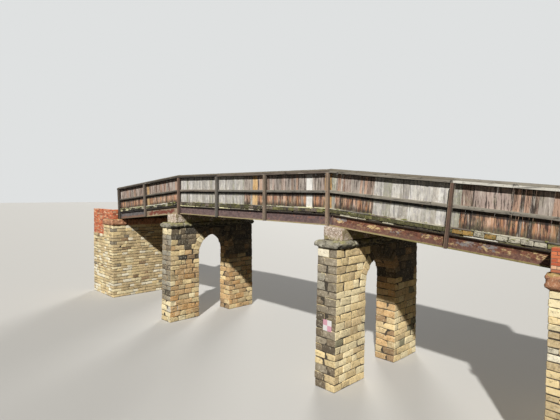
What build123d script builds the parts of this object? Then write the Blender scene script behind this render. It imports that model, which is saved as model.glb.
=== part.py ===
"""Timber and steel footbridge on two arched stone piers, in millimetres.

X runs along the bridge, Y across it and Z up. The origin is on the ground, under the
middle of the bridge. The near parapet is on the -Y side.
"""

import os
from math import atan2, cos, sin, tan

from build123d import *

# Piers, with their faces along the tracks
pier_centre = 4880
pier_thickness = 770
pier_length = 4940
pier_height = 4440
end_batter = 63
opening_width = 1900
crown_cover = 370

# Rounded caps and bearing blocks on the piers
cap_height = 250
cap_overhang = 100
cap_nose = 105
block_height = 430
block_thickness = 750
block_setback = 230
block_edge = 18

# Run of the girders: level over the tracks, then falling to the abutments
joint_offset = 320
side_fall = 567
girder_spread = 4040
girder_depth = 375
flange_width = 160
flange_thickness = 28
web_thickness = 14
girder_fillet = 16
stiffener_thickness = 12
stiffener_offset = 90
stiffener_setback = 4
joint_gap = 6
inner_girder_rows = 2
girder_seat = 350
girder_end_gap = 40

# Cross channels between the girders
channel_depth = 220
channel_width = 75
channel_wall = 10

# Packing timbers and deck on the girders
packer_width = 110
packer_height = 45
deck_thickness = 120
deck_setback = 15
ledge_height = 30

# Parapets
post_width = 110
post_depth = 100
post_setback = 40
post_chamfer = 6
parapet_height = 1830
top_rail_height = 140
top_rail_width = 160
weathering_height = 48
weathering_width = 62
mid_rail_height = 90
mid_rail_thickness = 95
mid_rail_middle = 1100
board_thickness = 25
board_top_gap = 30
rail_end = 100
board_end = 85
rail_joint = 4
rail_edge = 10
centre_bays = 3
left_post = 3250
left_end_post = 6400
right_post = 3915
right_end_post = 6630

# Abutments with returned wings
abutment_face = 10930
abutment_depth = 1270
abutment_cap_height = 350
wing_end = 13700
wing_drop = 570
wing_thickness = 450
brick_thickness = 300
brick_clearance = 50
brick_rise = 549
back_wall_thickness = 340
back_wall_gap = 10

os.makedirs("parts", exist_ok=True)

# Levels and places that follow from the sizes above
cap_top = pier_height + cap_height
girder_bottom = cap_top + block_height
springing_height = pier_height - crown_cover - opening_width / 2
block_length = pier_length - 2 * block_setback
kink = pier_centre - joint_offset
fall_rate = side_fall / (abutment_face - kink)
fall = atan2(side_fall, abutment_face - kink)
girder_line = (girder_spread - flange_width) / 2
girder_edge = girder_spread / 2
side_length = (abutment_face + girder_seat - kink) / cos(fall)
deck_low = girder_depth + packer_height
deck_top = deck_low + deck_thickness
ledge_top = deck_top + ledge_height
rail_low = parapet_height - top_rail_height
board_face = girder_edge - mid_rail_thickness
board_high = parapet_height - board_top_gap
post_line = kink - post_setback
side_posts = {"left": (left_post, left_end_post), "right": (right_post, right_end_post)}
girder_rows = [
    girder_line * (1 - 2 * row / (inner_girder_rows + 1)) for row in range(inner_girder_rows + 2)
]


def bottom_level(x):
    """Height of the girders' underside at a distance from the middle of the bridge."""
    return girder_bottom - max(0, x - kink) * fall_rate


def along(span, y):
    """Face plane of a span at y: its x runs outward from the joint, its y square to the girders."""
    if span == "centre":
        return Plane(origin=(0, y, girder_bottom), x_dir=(1, 0, 0), z_dir=(0, -1, 0))
    side = 1 if span == "right" else -1
    return Plane(
        origin=(side * kink, y, girder_bottom),
        x_dir=(side * cos(fall), 0, -sin(fall)),
        z_dir=(0, -side, 0),
    )


def across(span, distance):
    """Section plane of a span, at a distance along it, with its y square to the girders."""
    if span == "centre":
        return Plane(origin=(distance, 0, girder_bottom), x_dir=(0, 1, 0), z_dir=(1, 0, 0))
    side = 1 if span == "right" else -1
    start = (
        side * (kink + distance * cos(fall)),
        0,
        girder_bottom - distance * sin(fall),
    )
    return Plane(origin=start, x_dir=(0, side, 0), z_dir=(side * cos(fall), 0, -sin(fall)))


def span_ends(span, height, gap, square_end):
    """Start and end of a piece along a span at a height: cuts are plumb unless told square."""
    if span == "centre":
        return -kink + gap / 2, kink - gap / 2
    lean = height * tan(fall)
    end = square_end if square_end else side_length - lean
    return gap / 2 - lean, end


def long_bar(span, y_low, y_high, low, high, gap, square_end=0):
    """Bar along a whole span, between two heights above the girders' underside."""
    with BuildPart() as bar:
        with BuildSketch(along(span, (y_low + y_high) / 2)):
            with BuildLine():
                low_start, low_end = span_ends(span, low, gap, square_end)
                high_start, high_end = span_ends(span, high, gap, square_end)
                Polyline(
                    (low_start, low),
                    (low_end, low),
                    (high_end, high),
                    (high_start, high),
                    close=True,
                )
            make_face()
        extrude(amount=(y_high - y_low) / 2, both=True)
    return bar.part


def weathered_rail(span, hand):
    """Top rail with a sloping outer shoulder, drawn on the plumb cut at the joint and run along."""
    side = -1 if span == "left" else 1
    slope = 0 if span == "centre" else fall
    start = rail_joint / 2 - kink
    end = 2 * kink - rail_joint
    if span != "centre":
        start = side * (kink + rail_joint / 2)
        end = side_posts[span][1] + rail_end + rail_low * tan(fall) - rail_joint / 2
    low = rail_low / cos(slope)
    high = parapet_height / cos(slope)
    shoulder = (parapet_height - weathering_height) / cos(slope)
    inner = side * hand * board_face
    outer = side * hand * (board_face + top_rail_width)
    crest = side * hand * (board_face + top_rail_width - weathering_width)
    with BuildPart() as rail:
        cut = Plane(origin=(start, 0, bottom_level(abs(start))), x_dir=(0, side, 0), z_dir=(side, 0, 0))
        with BuildSketch(cut) as section:
            with BuildLine():
                Polyline(
                    (inner, low), (outer, low), (outer, shoulder), (crest, high), (inner, high), close=True
                )
            make_face()
            fillet(section.vertices(), rail_edge)
        extrude(amount=end, dir=(side * cos(slope), 0, -sin(slope)))
    return rail.part


def stiffener_places(span):
    """Places of the web stiffeners, measured as the girder is."""
    if span == "centre":
        pitch = 2 * post_line / centre_bays
        places = [-post_line + pitch * bay for bay in range(centre_bays + 1)]
        places[0] += stiffener_offset
        places[-1] -= stiffener_offset
        return places
    middle, end = side_posts[span]
    return [stiffener_offset, middle, end - stiffener_offset]


def girder(span, y, stiffened=False):
    """Girder with rounded roots; the outer ones are stiffened on both sides of the web at the posts."""
    start = -kink + joint_gap / 2 if span == "centre" else joint_gap / 2
    length = 2 * kink - joint_gap if span == "centre" else side_length - girder_end_gap - start
    side = -1 if span == "left" else 1
    with BuildPart() as beam:
        with BuildSketch(across(span, start)) as section:
            with Locations((side * y, girder_depth / 2)):
                Rectangle(flange_width, girder_depth)
                half_gap = (flange_width - web_thickness) / 2
                for hand in (-1, 1):
                    with Locations((hand * (web_thickness + half_gap) / 2, 0)):
                        Rectangle(half_gap, girder_depth - 2 * flange_thickness, mode=Mode.SUBTRACT)
            columns = section.vertices().group_by(Axis.X)
            fillet(columns[1] + columns[2], girder_fillet)
        extrude(amount=length)
        for place in stiffener_places(span) if stiffened else []:
            with BuildSketch(across(span, place - stiffener_thickness / 2)):
                with Locations((side * y, girder_depth / 2)):
                    Rectangle(flange_width - 2 * stiffener_setback, girder_depth - flange_thickness)
            extrude(amount=stiffener_thickness)
    return beam.part


def channel(span, place, y_low, y_high):
    """Cross channel between two girder webs, open towards the nearer end of the span."""
    with BuildPart() as tie:
        with BuildSketch(along(span, (y_low + y_high) / 2)):
            with Locations((place, girder_depth / 2)):
                Rectangle(channel_width, channel_depth)
            with Locations((place + channel_wall, girder_depth / 2)):
                Rectangle(channel_width, channel_depth - 2 * channel_wall, mode=Mode.SUBTRACT)
        extrude(amount=(y_high - y_low) / 2, both=True)
    return tie.part


def post(span, place, hand):
    """Parapet post on the outer edges of the flanges, square to the girder."""
    with BuildPart() as upright:
        with BuildSketch(along(span, hand * (girder_edge + post_depth / 2))):
            with Locations((place, rail_low / 2)):
                Rectangle(post_width, rail_low)
        extrude(amount=post_depth / 2, both=True)
        chamfer(upright.faces().sort_by(Axis.Z)[0].edges(), post_chamfer)
    return upright.part


def post_places():
    """Span and place of each post."""
    pitch = 2 * post_line / centre_bays
    places = [("centre", -post_line + pitch * bay) for bay in range(centre_bays + 1)]
    for span, distances in side_posts.items():
        places += [(span, distance) for distance in distances]
    return places


def between(hand, outer, inner):
    """Lower and higher y of a strip on one side of the bridge."""
    return min(hand * outer, hand * inner), max(hand * outer, hand * inner)


spans = ["left", "centre", "right"]
hands = {"near": -1, "far": 1}

# Arched piers with battered ends
for name, side in (("left", -1), ("right", 1)):
    with BuildPart() as pier:
        face = Plane(
            origin=(side * pier_centre - pier_thickness / 2, 0, 0), x_dir=(0, 1, 0), z_dir=(1, 0, 0)
        )
        with BuildSketch(face):
            with BuildLine():
                Polyline(
                    (-pier_length / 2 - end_batter, 0),
                    (pier_length / 2 + end_batter, 0),
                    (pier_length / 2, pier_height),
                    (-pier_length / 2, pier_height),
                    close=True,
                )
            make_face()
            with BuildLine():
                left_leg = Line((-opening_width / 2, 0), (-opening_width / 2, springing_height))
                head = RadiusArc(left_leg @ 1, (opening_width / 2, springing_height), opening_width / 2)
                right_leg = Line(head @ 1, (opening_width / 2, 0))
                Line(right_leg @ 1, left_leg @ 0)
            make_face(mode=Mode.SUBTRACT)
        extrude(amount=pier_thickness)
    pier.part.label = f"{name}_pier"
    export_step(pier.part, f"parts/{name}_pier.step")

    with BuildPart() as cap:
        with BuildSketch(Plane.XY.offset(pier_height)):
            with Locations((side * pier_centre, 0)):
                Rectangle(pier_thickness + 2 * cap_overhang, pier_length + 2 * cap_overhang)
        extrude(amount=cap_height)
        fillet(cap.faces().filter_by(Axis.Z).edges(), cap_nose)
    cap.part.label = f"{name}_pier_cap"
    export_step(cap.part, f"parts/{name}_pier_cap.step")

    with BuildPart() as block:
        with BuildSketch(Plane.XZ):
            with BuildLine():
                inner = pier_centre - block_thickness / 2
                outer = pier_centre + block_thickness / 2
                Polyline(
                    (side * inner, cap_top),
                    (side * outer, cap_top),
                    (side * outer, bottom_level(outer)),
                    (side * kink, girder_bottom),
                    (side * inner, girder_bottom),
                    close=True,
                )
            make_face()
        extrude(amount=block_length / 2, both=True)
        chamfer(block.edges().filter_by(Axis.Z), block_edge)
    block.part.label = f"{name}_bearing_block"
    export_step(block.part, f"parts/{name}_bearing_block.step")

# Abutments: stone front with wings, rounded bearing course, brick upstand
abutment_width = 2 * (girder_edge + post_depth + brick_clearance + brick_thickness)
abutment_back = abutment_face + abutment_depth
back_wall = abutment_face + girder_seat + back_wall_gap
seat_level = bottom_level(back_wall)
brick_top = seat_level + brick_rise
cap_low = seat_level - abutment_cap_height
wing_height = cap_low - wing_drop
for name, side in (("left", -1), ("right", 1)):
    with BuildPart() as stone:
        with BuildSketch():
            with Locations((side * (abutment_face + abutment_depth / 2), 0)):
                Rectangle(abutment_depth, abutment_width)
        extrude(amount=cap_low)
        with BuildSketch():
            with Locations((side * (abutment_back + wing_end) / 2, 0)):
                Rectangle(wing_end - abutment_back, abutment_width)
                Rectangle(
                    wing_end - abutment_back, abutment_width - 2 * wing_thickness, mode=Mode.SUBTRACT
                )
        extrude(amount=wing_height)
    stone.part.label = f"{name}_abutment_wall"
    export_step(stone.part, f"parts/{name}_abutment_wall.step")

    with BuildPart() as course:
        with BuildSketch(Plane.XZ):
            with BuildLine():
                front = abutment_face - cap_overhang
                Polyline(
                    (side * front, cap_low),
                    (side * abutment_back, cap_low),
                    (side * abutment_back, seat_level),
                    (side * back_wall, seat_level),
                    (side * front, bottom_level(front)),
                    close=True,
                )
            make_face()
        extrude(amount=abutment_width / 2 + cap_overhang, both=True)
        ends = course.faces().filter_by(Axis.Y)
        front_face = course.faces().filter_by(Axis.X).sort_by(Axis.X)[0 if side > 0 else -1]
        nosed = ends.edges().filter_by(Axis.Z, reverse=True) + front_face.edges().filter_by(Axis.Y)
        fillet(nosed, cap_nose)
    course.part.label = f"{name}_abutment_course"
    export_step(course.part, f"parts/{name}_abutment_course.step")

    with BuildPart() as brick:
        for hand in (-1, 1):
            with BuildSketch(Plane.XZ.offset(-hand * (abutment_width - brick_thickness) / 2)):
                with BuildLine():
                    Polyline(
                        (side * abutment_face, bottom_level(abutment_face)),
                        (side * back_wall, seat_level),
                        (side * abutment_back, seat_level),
                        (side * abutment_back, wing_height),
                        (side * wing_end, wing_height),
                        (side * wing_end, brick_top),
                        (side * abutment_face, brick_top),
                        close=True,
                    )
                make_face()
            extrude(amount=brick_thickness / 2, both=True)
        with BuildSketch(Plane.XY.offset(seat_level)):
            with Locations((side * (back_wall + back_wall_thickness / 2), 0)):
                Rectangle(back_wall_thickness, abutment_width)
        extrude(amount=brick_rise)
    brick.part.label = f"{name}_abutment_brickwork"
    export_step(brick.part, f"parts/{name}_abutment_brickwork.step")

# Girders, cross channels, packers and deck of each span
for span in spans:
    for hand_name, hand in hands.items():
        with BuildPart() as outer_girder:
            add(girder(span, hand * girder_line, stiffened=True))
        outer_girder.part.label = f"{span}_girder_{hand_name}"
        export_step(outer_girder.part, f"parts/{span}_girder_{hand_name}.step")

    with BuildPart() as inner_girders:
        for row in girder_rows[1:-1]:
            add(girder(span, row))
    inner_girders.part.label = f"{span}_inner_girders"
    export_step(inner_girders.part, f"parts/{span}_inner_girders.step")

    with BuildPart() as ties:
        stations = stiffener_places(span)
        for place in (stations[0] + channel_width, stations[-1] - channel_width):
            for row in range(len(girder_rows) - 1):
                low = girder_rows[row + 1] + web_thickness / 2
                high = girder_rows[row] - web_thickness / 2
                add(channel(span, place, low, high))
    ties.part.label = f"{span}_cross_channels"
    export_step(ties.part, f"parts/{span}_cross_channels.step")

    with BuildPart() as packers:
        for row in girder_rows:
            low_y = row - packer_width / 2
            add(long_bar(span, low_y, low_y + packer_width, girder_depth, deck_low, joint_gap))
    packers.part.label = f"{span}_packers"
    export_step(packers.part, f"parts/{span}_packers.step")

    with BuildPart() as deck:
        edge = girder_edge - deck_setback
        add(long_bar(span, -edge, edge, deck_low, deck_top, joint_gap))
    deck.part.label = f"{span}_deck"
    export_step(deck.part, f"parts/{span}_deck.step")

# Parapets
for hand_name, hand in hands.items():
    board_ends = {span: side_posts[span][1] + board_end for span in side_posts}
    for span in spans:
        with BuildPart() as boards:
            low_y, high_y = between(hand, board_face, board_face - board_thickness)
            add(
                long_bar(
                    span, low_y, high_y, ledge_top, board_high, rail_joint, board_ends.get(span, 0)
                )
            )
        boards.part.label = f"{span}_boards_{hand_name}"
        export_step(boards.part, f"parts/{span}_boards_{hand_name}.step")

    with BuildPart() as ledge:
        low_y, high_y = between(hand, girder_edge, board_face - board_thickness)
        for span in spans:
            add(long_bar(span, low_y, high_y, deck_top, ledge_top, rail_joint))
    ledge.part.label = f"ledge_{hand_name}"
    export_step(ledge.part, f"parts/ledge_{hand_name}.step")

    with BuildPart() as mid_rail:
        low_y, high_y = between(hand, girder_edge, board_face)
        low = mid_rail_middle - mid_rail_height / 2
        high = mid_rail_middle + mid_rail_height / 2
        for span in spans:
            add(long_bar(span, low_y, high_y, low, high, rail_joint, board_ends.get(span, 0)))
    mid_rail.part.label = f"mid_rail_{hand_name}"
    export_step(mid_rail.part, f"parts/mid_rail_{hand_name}.step")

    with BuildPart() as top_rail:
        for span in spans:
            add(weathered_rail(span, hand))
    top_rail.part.label = f"top_rail_{hand_name}"
    export_step(top_rail.part, f"parts/top_rail_{hand_name}.step")

    with BuildPart() as posts:
        for span, place in post_places():
            add(post(span, place, hand))
    posts.part.label = f"posts_{hand_name}"
    export_step(posts.part, f"parts/posts_{hand_name}.step")
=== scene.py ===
import itertools
import math
import random

import bmesh
import bpy
import numpy as np
from mathutils import Matrix, Vector, noise


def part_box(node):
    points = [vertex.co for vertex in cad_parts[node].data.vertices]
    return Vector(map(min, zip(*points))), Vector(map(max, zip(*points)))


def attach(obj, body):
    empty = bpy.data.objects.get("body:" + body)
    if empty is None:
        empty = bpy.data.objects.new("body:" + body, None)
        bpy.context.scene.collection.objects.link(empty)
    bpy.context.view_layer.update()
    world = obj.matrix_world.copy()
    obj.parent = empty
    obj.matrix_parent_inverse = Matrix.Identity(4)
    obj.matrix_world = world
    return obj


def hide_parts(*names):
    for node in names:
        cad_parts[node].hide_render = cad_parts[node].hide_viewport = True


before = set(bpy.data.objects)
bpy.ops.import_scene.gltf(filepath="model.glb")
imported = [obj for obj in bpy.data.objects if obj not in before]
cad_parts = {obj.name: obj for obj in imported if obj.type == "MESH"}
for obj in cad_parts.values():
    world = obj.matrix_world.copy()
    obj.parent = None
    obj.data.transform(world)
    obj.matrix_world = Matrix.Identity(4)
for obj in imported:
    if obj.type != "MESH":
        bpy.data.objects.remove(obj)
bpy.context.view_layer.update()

# Footbridge of timber and steel on arched stone piers. Metres, X along the bridge, near parapet at -Y.

bpy.context.scene.view_settings.view_transform = "Standard"


def colour(web):
    # linear colour from six web digits
    parts = [int(web[i : i + 2], 16) / 255 for i in (0, 2, 4)]
    return (*[p / 12.92 if p < 0.04045 else ((p + 0.055) / 1.055) ** 2.4 for p in parts], 1)


class Wire:
    # a socket that can be added, subtracted and multiplied
    def __init__(self, tree, socket):
        self.tree = tree
        self.socket = socket

    def maths(self, operation, first, second):
        return self.tree.node("Math", {"operation": operation}, {0: first, 1: second})

    def __add__(self, other):
        return self.maths("ADD", self, other)

    def __radd__(self, other):
        return self.maths("ADD", other, self)

    def __sub__(self, other):
        return self.maths("SUBTRACT", self, other)

    def __rsub__(self, other):
        return self.maths("SUBTRACT", other, self)

    def __mul__(self, other):
        return self.maths("MULTIPLY", self, other)

    def __rmul__(self, other):
        return self.maths("MULTIPLY", other, self)


class Tree:
    # a tree of shader nodes
    def __init__(self, nodeTree):
        self.nodeTree = nodeTree

    def node(self, kind, settings={}, sockets={}, output=0):
        made = self.nodeTree.nodes.new("ShaderNode" + kind)
        for name, value in settings.items():
            if name == "stops":
                self.setStops(made.color_ramp, value)
            else:
                setattr(made, name, value)
        for name, value in sockets.items():
            self.feed(made.inputs[name], value)
        return Wire(self, made.outputs[output])

    def setStops(self, ramp, stops):
        ramp.interpolation = "CONSTANT"
        while len(ramp.elements) < len(stops):
            ramp.elements.new(1)
        for element, (position, tint) in zip(ramp.elements, stops):
            element.position = position
            element.color = tint

    def feed(self, socket, value):
        if isinstance(value, Wire):
            self.nodeTree.links.new(value.socket, socket)
        else:
            socket.default_value = value

    def split(self, vector):
        separate = self.node("SeparateXYZ", {}, {0: vector})
        return [Wire(self, socket) for socket in separate.socket.node.outputs]


class Finish(Tree):
    # one material
    def __init__(self, name):
        self.material = bpy.data.materials.new(name)
        self.material.use_nodes = True
        super().__init__(self.material.node_tree)
        self.shader = self.nodeTree.nodes["Principled BSDF"]
        self.place = self.node("TexCoord", output="Object")

    def traits(self):
        # the three numbers that each small piece carries: its tone, its shade, and one more
        return self.split(self.node("Attribute", {"attribute_name": "traits"}, output="Vector"))

    def relief(self):
        # 1 on the high spots of a piece's worn face, -1 in its hollows
        return self.node("Attribute", {"attribute_name": "relief"}, output="Fac")

    def facing(self):
        normal = self.node("NewGeometry", output="Normal")
        return self.split(self.node("VectorMath", {"operation": "ABSOLUTE"}, {0: normal}))

    def upward(self):
        return self.split(self.node("NewGeometry", output="Normal"))[2]

    def shifted(self, amount):
        # the place, moved apart for each piece so that no two share a grain
        shift = self.node("CombineXYZ", {}, {0: amount * 37, 1: amount * 53, 2: amount * 71})
        return self.node("VectorMath", {"operation": "ADD"}, {0: self.place, 1: shift})

    def noise(self, scale, detail, roughness, stretch=(1, 1, 1), place=None):
        stretched = self.node("Mapping", {}, {"Vector": place or self.place, "Scale": stretch})
        sockets = {"Vector": stretched, "Scale": scale, "Detail": detail, "Roughness": roughness}
        return self.node("TexNoise", {}, sockets)

    def between(self, value, low, high):
        # 0 below low, 1 above high; with the two swapped, 1 below and 0 above
        sockets = {"Value": value, "From Min": low, "From Max": high}
        return self.node("MapRange", {"interpolation_type": "SMOOTHSTEP"}, sockets)

    def band(self, value, low, high, soft):
        # 1 between low and high, with soft edges
        return self.between(value, low - soft, low + soft) * self.between(value, high + soft, high - soft)

    def tone(self, tones, number):
        # one of the named tones, by the number that a piece carries
        stops = [(i / len(tones), colour(web)) for i, web in enumerate(tones.values())]
        return self.node("ValToRGB", {"stops": stops}, {0: number})

    def mix(self, factor, under, over):
        return self.node("Mix", {"data_type": "RGBA"}, {0: factor, 6: under, 7: over}, 2)

    def shade(self, tint, value, saturation=1):
        return self.node("HueSaturation", {}, {"Color": tint, "Value": value, "Saturation": saturation})

    def stain(self, tint, *rows):
        # lays colours over a tint; a row is the colour, its strength, and where a value runs from low to high
        for over, strength, *where in rows:
            mask = self.between(*where) * strength if where else strength
            tint = self.mix(mask, tint, colour(over) if isinstance(over, str) else over)
        return tint

    def close(self, tint, rough, height, depth):
        # base colour, roughness and bump, depth in metres
        self.feed(self.shader.inputs["Base Color"], tint)
        self.feed(self.shader.inputs["Roughness"], rough)
        bump = self.node("Bump", {}, {"Height": height, "Distance": depth, "Strength": 1})
        self.feed(self.shader.inputs["Normal"], bump)
        return self.material


def pick(rng, tones, weights):
    # number of one of the named tones, chosen by weight
    names = list(weights)
    name = rng.choices(names, [weights[n] for n in names])[0]
    return (list(tones).index(name) + 0.5) / len(tones)


# Many small worn pieces, joined into one mesh

gridCache = {}
corners8 = [(i >> 2 & 1, i >> 1 & 1, i & 1) for i in range(8)]
coarser = 2.5  # how much longer the cells are towards a hidden side


def ripple(points):
    # smooth uneven swell from -1 to 1, about one rise a unit
    base = np.floor(points).astype(np.int64)
    part = points - base
    part = part * part * (3 - 2 * part)
    total = np.zeros(len(points))
    for corner in corners8:
        cell = base + corner
        code = cell[:, 0] * 73856093 ^ cell[:, 1] * 19349663 ^ cell[:, 2] * 83492791
        code = (code & 0xFFFFFFF) * 1274126177
        code = code >> 12 & 0xFFF
        total += np.prod(np.where(corner, part, 1 - part), axis=1) * (code / 2047.5 - 1)
    return total


def boxGrid(counts):
    # surface points and faces of a box with that many cuts along each axis
    if counts in gridCache:
        return gridCache[counts]
    places = {}
    faces = []
    for u, v, axis in ((1, 2, 0), (2, 0, 1), (0, 1, 2)):
        spots = itertools.product((0, counts[axis] - 1), range(counts[u] - 1), range(counts[v] - 1))
        for end, i, j in spots:
            face = []
            for a, b in ((0, 0), (1, 0), (1, 1), (0, 1)):
                place = [end, end, end]
                place[u] = i + a
                place[v] = j + b
                face.append(places.setdefault(tuple(place), len(places)))
            faces.append(face if end else face[::-1])
    gridCache[counts] = (np.array(list(places)), np.array(faces))
    return gridCache[counts]


def flatNormals(points, faces):
    # normals weighted by area, so that wide faces stay flat and only the edges look round
    first = points[faces[:, 0]]
    across = points[faces[:, 2]] - first
    areas = np.cross(points[faces[:, 1]] - first, across)
    if faces.shape[1] == 4:
        areas += np.cross(across, points[faces[:, 3]] - first)
    normals = np.zeros_like(points)
    for corner in range(faces.shape[1]):
        np.add.at(normals, faces[:, corner], areas)
    return normals / np.maximum(np.linalg.norm(normals, axis=1, keepdims=True), 1e-12)


class Pile:
    def __init__(self, name, seed):
        self.name = name
        self.random = random.Random(seed)
        self.points = []
        self.faces = []
        self.traits = []
        self.reliefs = []
        self.total = 0

    def add(self, points, faces, traits, place=None, relief=0):
        # points and faces of one piece; its three traits are numbers or one value a point
        if place is not None:
            points = points @ place[:3, :3].T + place[:3, 3]
            if np.linalg.det(place[:3, :3]) < 0:
                faces = faces[:, ::-1]
        columns = [np.broadcast_to(trait, len(points)) for trait in traits]
        self.points.append(points)
        self.faces += (faces + self.total).tolist()
        self.traits.append(np.stack(columns, axis=1))
        self.reliefs.append(np.broadcast_to(relief, len(points)))
        self.total += len(points)

    def block(self, low, high, traits, wear, bend=None, place=None, backs=()):
        # a box with rounded edges and uneven faces; wear says how worn it is, backs which sides are hidden
        low = np.array(low, float)
        high = np.array(high, float)
        edge = min(wear["edge"], 0.45 * (high - low).min())
        cuts = []
        for axis, (start, end) in enumerate(zip(low, high)):
            plainStart = (axis, -1) in backs
            plainEnd = (axis, 1) in backs
            cell = wear["cell"] * (coarser if plainStart or plainEnd else 1)
            inner = max(1, round((end - start - 2 * edge) / cell))
            middle = np.linspace(start + edge * (not plainStart), end - edge * (not plainEnd), inner + 1)
            cuts.append(np.concatenate(([] if plainStart else [start], middle, [] if plainEnd else [end])))
        grid, faces = boxGrid(tuple(len(c) for c in cuts))
        points = np.stack([cuts[axis][grid[:, axis]] for axis in range(3)], axis=1)
        core = np.clip(points, low + edge, high - edge)
        out = points - core
        out = out / np.linalg.norm(out, axis=1, keepdims=True)
        inside = np.clip(np.abs(out).max(axis=1) * 4 - 3, 0, 1)
        spot = points * wear["pace"] + self.random.uniform(0, 100)
        bumps = 0.7 * ripple(spot) + 0.4 * ripple(spot * 2.6)
        reach = edge + wear["rough"] * bumps + wear.get("swell", 0) * inside
        reach -= wear.get("chip", 0) * np.clip(bumps - 0.1, 0, 1) * (1 - inside)
        third = traits[2](points) if callable(traits[2]) else traits[2]
        share = (points - low) / (high - low)
        points = core + out * reach[:, None]
        skew = wear.get("skew", 0)
        if skew:
            for corner in corners8:
                weight = np.prod(np.where(corner, share, 1 - share), axis=1)[:, None]
                points = points + weight * [self.random.uniform(-skew, skew) for _ in range(3)]
        if bend:
            points = bend(points)
        self.add(points, faces, (traits[0], traits[1], third), place, bumps)

    def look(self, tones, weights, third=0):
        # traits of a piece: a tone picked by weight, a random shade, and a third
        return pick(self.random, tones, weights), self.random.random(), third

    def finish(self, material, slot, *nodes):
        mesh = bpy.data.meshes.new(self.name)
        points = np.concatenate(self.points)
        mesh.from_pydata(points.tolist(), [], self.faces)
        attribute = mesh.attributes.new("traits", "FLOAT_VECTOR", "POINT")
        attribute.data.foreach_set("vector", np.concatenate(self.traits).astype(np.float32).ravel())
        attribute = mesh.attributes.new("relief", "FLOAT", "POINT")
        attribute.data.foreach_set("value", np.concatenate(self.reliefs).astype(np.float32))
        mesh.shade_smooth()
        normals = flatNormals(points, np.array(self.faces))
        mesh.normals_split_custom_set_from_vertices(normals.tolist())
        settle(bpy.data.objects.new(self.name, mesh), material, slot, *nodes)


def dress(piece, material):
    piece.data.materials.clear()
    piece.data.materials.append(material)


def settle(piece, material, slot, *nodes):
    # the piece rides on the bridge, and stands for the named nodes
    bpy.context.scene.collection.objects.link(piece)
    dress(piece, material)
    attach(piece, "root")
    if nodes:
        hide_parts(*nodes)


# Levels and places read from the frame, heights above the underside of the level girders

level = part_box("centre_girder_near")[0].z
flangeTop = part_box("centre_girder_near")[1].z - level
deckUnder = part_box("centre_deck")[0].z - level
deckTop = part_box("centre_deck")[1].z - level
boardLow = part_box("centre_boards_near")[0].z - level
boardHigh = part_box("centre_boards_near")[1].z - level
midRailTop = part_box("mid_rail_near")[1].z - level
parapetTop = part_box("top_rail_near")[1].z - level
girderEdge = -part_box("centre_girder_near")[0].y
deckEdge = -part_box("centre_deck")[0].y
boardFront = -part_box("centre_boards_near")[0].y
boardBack = -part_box("centre_boards_near")[1].y
railFront = -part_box("top_rail_near")[0].y
postFront = -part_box("posts_near")[0].y
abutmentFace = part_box("right_abutment_wall")[0].x
deckJoint = 0.003  # half the joint between two decks
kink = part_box("centre_deck")[1].x + deckJoint
sideFall = 0.567  # drop of the girders from the kink to the abutment face
fall = math.atan2(sideFall, abutmentFace - kink)
spanEnd = (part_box("right_deck")[1].x - kink) / math.cos(fall)
postInset = 0.04
postLine = kink - postInset  # where the outer posts of the level span stand

# distances of the posts along each span, and how far its boards and mid rails reach
postPlaces = {
    "left": [3.25, 6.4],
    "centre": [-postLine, -postLine / 3, postLine / 3, postLine],
    "right": [3.915, 6.63],
}
spanReach = {"left": (0, 6.565), "centre": (-kink, kink), "right": (0, 6.715)}
spanSides = {"left": -1, "centre": 0, "right": 1}
ends = {"left": -1, "right": 1}
hands = {"near": -1, "far": 1}


def spanPlace(span, hand=1):
    # matrix from distance along a span, distance out from the middle and height above the girders' foot
    side = spanSides[span]
    angle = fall if side else 0
    place = np.eye(4)
    place[:3, 0] = ((side or 1) * math.cos(angle), 0, -math.sin(angle))
    place[:3, 1] = (0, hand, 0)
    place[:3, 2] = (side * math.sin(angle), 0, math.cos(angle))
    place[:3, 3] = (side * kink, 0, level)
    return place


def spanRun(span, look):
    # where a row of timbers starts and ends along a span
    inset = look.get("inset", 0)
    if span == "centre":
        return -kink + inset, kink - inset
    return look["start"], spanEnd - look["short"]


def within(stretches, spot):
    # end and tones of the stretch that holds a spot
    return next((end, weights) for end, weights in stretches if spot < end)


print("camera and light")

photo = {
    "width": 560,
    "focal": 430.4,  # in the photograph's pixels
    "stand": (13.369, -12.905, 6.188),
    "yaw": 45.52,
    "pitch": 2.364,
    "roll": 0.551,
    "clipEnd": 500,
}


def makeCamera():
    data = bpy.data.cameras.new("camera")
    data.sensor_width = 36
    data.lens = photo["focal"] / photo["width"] * data.sensor_width
    data.clip_end = photo["clipEnd"]
    camera = bpy.data.objects.new("camera", data)
    turn = Matrix.Rotation(math.radians(photo["yaw"]), 4, "Z")
    turn = turn @ Matrix.Rotation(math.radians(90 - photo["pitch"]), 4, "X")
    turn = turn @ Matrix.Rotation(math.radians(photo["roll"]), 4, "Z")
    camera.matrix_world = Matrix.Translation(photo["stand"]) @ turn
    bpy.context.scene.collection.objects.link(camera)
    bpy.context.scene.camera = camera


light = {
    "from": (0.7, -1.0, 0.92),
    "key": 4.2,
    "spread": 1.6,
    "fill": 0.042,
    "behind": (-0.8, 1.0, 0.35),  # weaker lamp for the far side
    "behindKey": 2.4,
    "behindSpread": 20,
    "backdrop": "dfe1e1",
    "floor": "c6c3bc",
    "bounce": "2c2a26",
}


def makeLamp(name, way, strength, spread):
    lamp = bpy.data.lights.new(name, "SUN")
    lamp.energy = strength
    lamp.angle = math.radians(spread)
    shown = bpy.data.objects.new(name, lamp)
    shown.rotation_euler = Vector(way).to_track_quat("Z", "Y").to_euler()
    bpy.context.scene.collection.objects.link(shown)


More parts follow.
